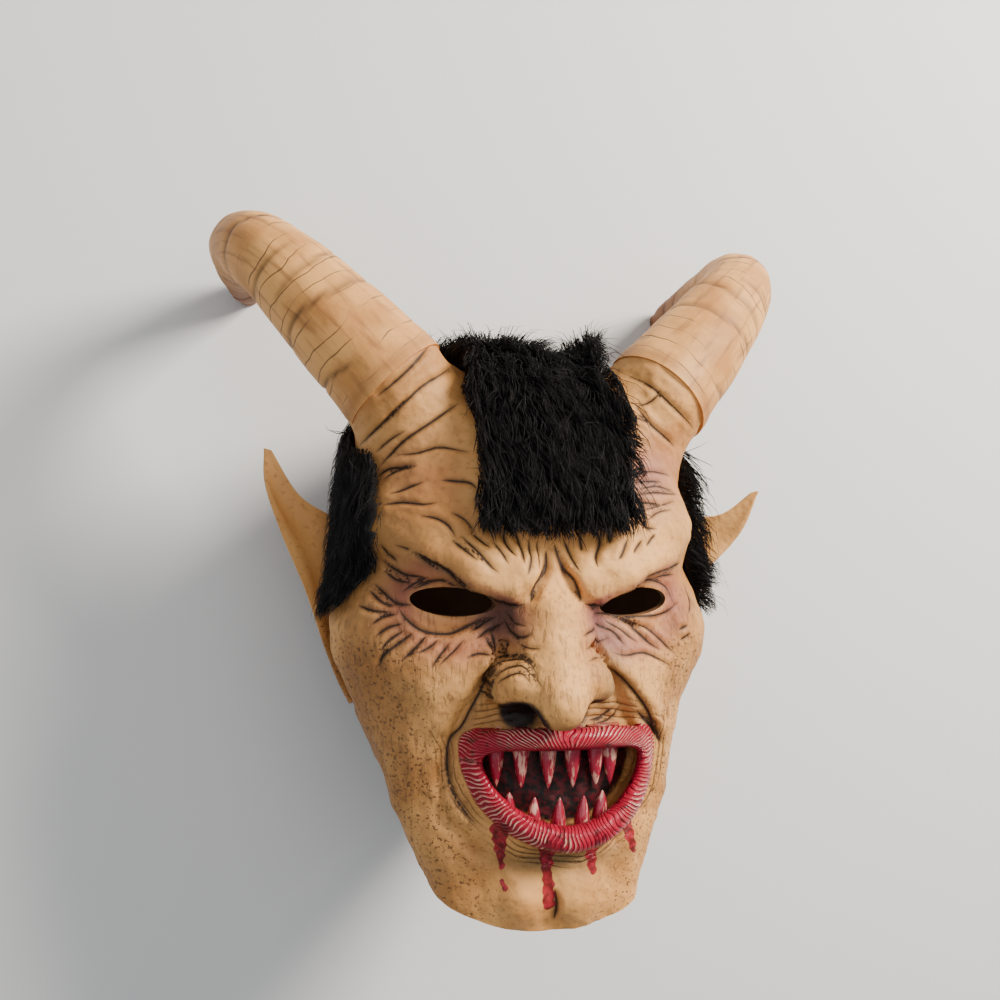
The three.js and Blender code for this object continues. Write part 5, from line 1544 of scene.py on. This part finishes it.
def backing_mesh(panel):
    """A thin closed shell over the skin inside a panel."""
    points, faces = skin_mesh(plain_head, *HEAD_BOX, BACKING_CELL)
    inside = (panel(*points.T) < -2.5) & (off_horns(points) > OFF_HORNS["backing"])
    faces = faces[inside[faces].all(1)]
    used, faces = np.unique(faces, return_inverse=True)
    faces = faces.reshape(-1, 3)
    outer = sit_at(points[used], BACKING_TOP)
    inner = sit_at(points[used], BACKING_UNDER)
    edges = np.concatenate([faces[:, [0, 1]], faces[:, [1, 2]], faces[:, [2, 0]]])
    count = len(used)
    key = np.sort(edges, 1)
    _, index, times = np.unique(key[:, 0] * count + key[:, 1], return_index=True, return_counts=True)
    rim = edges[index[times == 1]]
    walls = np.concatenate([np.stack([rim[:, 1], rim[:, 0], rim[:, 0] + count], 1),
                            np.stack([rim[:, 1], rim[:, 0] + count, rim[:, 1] + count], 1)])
    return np.concatenate([outer, inner]), np.concatenate([faces, faces[:, ::-1] + count, walls])


HEAD_PATCH = skin_mesh(plain_head, *HEAD_BOX, PATCH_CELL)


def roots_on(panel, keep, count, draw):
    """Places for roots, spread evenly over the part of a panel where keep is true."""
    head_points, head_faces = HEAD_PATCH
    corners = head_points[head_faces]
    middle = corners.mean(1)
    ok = (panel(*middle.T) < 0) & keep(middle) & (middle[:, 2] > FLOOR_Z + 6)
    corners = corners[ok]
    first, side_one, side_two = corners[:, 0], corners[:, 1] - corners[:, 0], corners[:, 2] - corners[:, 0]
    area = np.linalg.norm(np.cross(side_one, side_two), axis=1)
    pick = draw.choice(len(corners), size=int(count * SPARE), p=area / area.sum())
    u, v = draw.random((2, len(pick)))
    u, v = np.where(u + v > 1, 1 - u, u), np.where(u + v > 1, 1 - v, v)
    roots = first[pick] + side_one[pick] * u[:, None] + side_two[pick] * v[:, None]
    return roots[panel(*roots.T) < -1.5]


def lock_of(roots, draw):
    """For each root, the number of the strand that leads its lock."""
    lock = draw.choice(len(roots), len(roots) // LOCK_STRANDS, replace=False)
    near = np.empty(len(roots), int)
    for start in range(0, len(roots), 2000):
        block = roots[start:start + 2000]
        near[start:start + 2000] = lock[((block[:, None] - roots[lock][None]) ** 2).sum(2).argmin(1)]
    return near


def combed(roots, panel, comb, pile, draw, seed):
    """The strands' paths: combed, ended near the panel's edge and drawn together in locks."""
    n = len(roots)
    stray = draw.random(n) < STRAYS
    length = draw.uniform(16, 29, n) * np.where(stray, 1.1, 1)
    height = pile(roots) * np.where(stray, 1.0, 0.42 + 0.5 * draw.random(n) ** 0.7)
    near = lock_of(roots, draw)
    swirl = np.stack([ripple(*roots.T, 30, seed + i) for i in range(3)], 1) * 0.35
    own = draw.normal(size=(n, 3)) * np.where(stray, 0.55, 0.12)[:, None]
    wander = swirl + own + (draw.normal(size=(n, 3)) * 0.22)[near]
    paths = paths_of(roots, comb, length, height, wander)
    limit = draw.uniform(-1.5, 5.0, n) + np.where(stray, 3, 0)
    beyond = panel(*paths.reshape(-1, 3).T).reshape(n, -1) > limit[:, None]
    stay = np.where(beyond.any(1), np.maximum(beyond.argmax(1) - 0.5, 0.8) / STRAND_RINGS, 1)
    paths = paths_of(roots, comb, length * stay, height * (0.55 + 0.45 * stay), wander)
    rise = (np.arange(STRAND_RINGS + 1) / STRAND_RINGS) ** 1.4
    pull = np.where(stray, 0, draw.uniform(0.35, 0.85, n))
    toward = paths[near] - paths
    too_far = np.linalg.norm(toward[:, 0], axis=1) > 6
    paths = paths + np.where(too_far, 0, pull)[:, None, None] * rise[None, :, None] * toward
    clear = (off_horns(paths.reshape(-1, 3)) > OFF_HORNS["strand"]).reshape(n, -1).all(1)
    clear &= (head_skin(*paths.reshape(-1, 3).T) > 0.9).reshape(n, -1).all(1)
    clear &= (paths[:, :, 2] > FLOOR_Z + 0.6).all(1)
    return paths[clear]


def fur_panel(name, node, panel, keep, comb, pile, count, seed):
    """One piece of fur: a backing and count strands, on the part of the panel where keep is true."""
    draw = np.random.default_rng(seed)
    roots = roots_on(panel, keep, count, draw)
    paths = combed(roots, panel, comb, pile, draw, seed)[:count]
    width = draw.uniform(*HALF_WIDTH, len(paths))
    points, faces, shares, stride = strands_mesh(paths, width)
    tone = np.repeat(draw.random(len(paths)) ** 1.5, stride)
    back_points, back_faces = backing_mesh(
        lambda x, y, z: np.maximum(panel(x, y, z), np.where(keep(np.stack([x, y, z], 1)), -9, 9)))
    every_point = np.concatenate([points, back_points])
    every_face = np.concatenate([faces, back_faces + len(points)])
    piece = object_from(name, to_frame(every_point), every_face, [fur_material])
    store(piece, {"strand": np.concatenate([tone * 0.8 + 0.2, np.zeros(len(back_points))]),
                  "tip": np.concatenate([shares, np.zeros(len(back_points))])})
    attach(piece, "root")
    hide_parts(node)
    print(name, len(paths), "strands,", triangle_count(piece), "triangles")
    return piece


def crown_comb(points):
    x, y, z = points.T
    ahead = np.clip((z + 15) / 40, -1, 1)
    return np.stack([x / 260, -0.9 * np.abs(ahead) - 0.1, ahead], 1)


def side_comb(points):
    x, y, z = points.T
    return np.stack([np.sign(x) * 0.2, np.full(len(x), -1.0), np.clip((z - 10) / 60, -0.9, 0.5)], 1)


def crown_pile(points):
    x, y, z = points.T
    tufts = np.exp(-(((x + 8) / 12) ** 2)) + np.exp(-(((x - 40) / 14) ** 2))
    return 14 + 8 * tufts * np.clip((y - 60) / 40, 0, 1)


# %% [markdown]
# Last come the panels themselves. The crown's strip is in two pieces, because one would have more than
# 200,000 triangles. The pile stands up to 10 mm high on the left side, 17 mm on the right and 14 mm on
# the crown, where two tufts rise higher.

# %% The fur's pieces
CROWN_SPLIT_Z = -12
SIDE_PILE = {-1: 10.0, 1: 17.0}


def side_pile(side):
    return lambda p: np.full(len(p), SIDE_PILE[side])


fur_panel("crown_fur_front", "fur_crown_strip", crown_panel, lambda p: p[:, 2] > CROWN_SPLIT_Z,
          crown_comb, crown_pile, 11600, 11)
fur_panel("crown_fur_back", "fur_crown_strip", crown_panel, lambda p: p[:, 2] <= CROWN_SPLIT_Z,
          crown_comb, crown_pile, 9000, 12)
fur_panel("left_side_fur", "fur_side_left", side_panel(-1), lambda p: p[:, 0] < 0,
          side_comb, side_pile(-1), 9000, 13)
fur_panel("right_side_fur", "fur_side_right", side_panel(1), lambda p: p[:, 0] > 0,
          side_comb, side_pile(1), 9000, 14)

# %% [markdown]
# The mask lies on a plain pale floor. The key light is warm and stands high on the right, as in the
# photo, where the left cheek is in half shade. A weak, wide and cool one on the left fills that shade,
# and a third stands above. A little light comes from all round.

# %% Floor and lights
FLOOR_PALE = "f2f2f1"
MIDDLE = (0.0, 0.0, 0.15)
LIGHTS = [
    # name, place in metres, width, watts, colour
    ("key", (1.0, 0.85, 1.0), 0.55, 52, (1.0, 0.93, 0.83)),
    ("fill", (-1.1, 0.1, 1.3), 1.6, 4, (0.72, 0.86, 1.0)),
    ("top", (0.0, 0.3, 1.9), 1.4, 11, (1.0, 1.0, 1.0)),
]
ALL_ROUND = 0.2


def add_light(name, place, size, watts, tint):
    bpy.ops.object.select_all(action="DESELECT")
    bpy.ops.object.light_add(type="AREA", location=place)
    light = bpy.context.object
    light.name = name
    light.data.size = size
    light.data.energy = watts
    light.data.color = tint
    light.rotation_euler = (Vector(MIDDLE) - Vector(place)).to_track_quat("-Z", "Y").to_euler()


bpy.ops.object.select_all(action="DESELECT")
bpy.ops.mesh.primitive_plane_add(size=8)
floor = bpy.context.object
floor.name = "floor"
floor_material, tree = new_material("pale_floor")
shader = add(tree, "BsdfPrincipled", {"Base Color": FLOOR_PALE, "Roughness": 0.8})
add(tree, "OutputMaterial", {"Surface": shader})
floor.data.materials.append(floor_material)

for settings in LIGHTS:
    add_light(*settings)
world = bpy.data.worlds.new("studio")
bpy.context.scene.world = world
world.use_nodes = True
world.node_tree.nodes["Background"].inputs["Color"].default_value = (1, 1, 1, 1)
world.node_tree.nodes["Background"].inputs["Strength"].default_value = ALL_ROUND
print("lights:", [settings[0] for settings in LIGHTS])

# %% [markdown]
# The photo was taken from about 0.56 m, 15 degrees round to the left and a little above the eyes. The
# mask lies face up here, so the same camera looks down on it.

# %% Camera
VIEW_TURN = math.radians(15.0)
VIEW_ROLL = math.radians(1.3)
DISTANCE, ASIDE, ABOVE_EYES = 561.0, 3.2, 45.8
FOCAL_PX, FRAME_PX, SENSOR_MM = 1083.0, 1000.0, 36

right = np.array([math.cos(VIEW_TURN), 0, math.sin(VIEW_TURN)])
forward = np.array([math.sin(VIEW_TURN), 0, -math.cos(VIEW_TURN)])
eye = -ASIDE * right - DISTANCE * forward + [0, ABOVE_EYES, 0]
bpy.ops.object.camera_add()
camera = bpy.context.object
camera.data.sensor_width = SENSOR_MM
camera.data.lens = SENSOR_MM * FOCAL_PX / FRAME_PX
turn = Matrix((right, (0, 1, 0), -forward)).transposed().to_4x4()
camera.matrix_world = Matrix.Translation(to_frame(eye)) @ turn @ Matrix.Rotation(VIEW_ROLL, 4, "Z")
bpy.context.scene.camera = camera
print("camera at", [round(v, 3) for v in camera.location], "lens", round(camera.data.lens, 1))
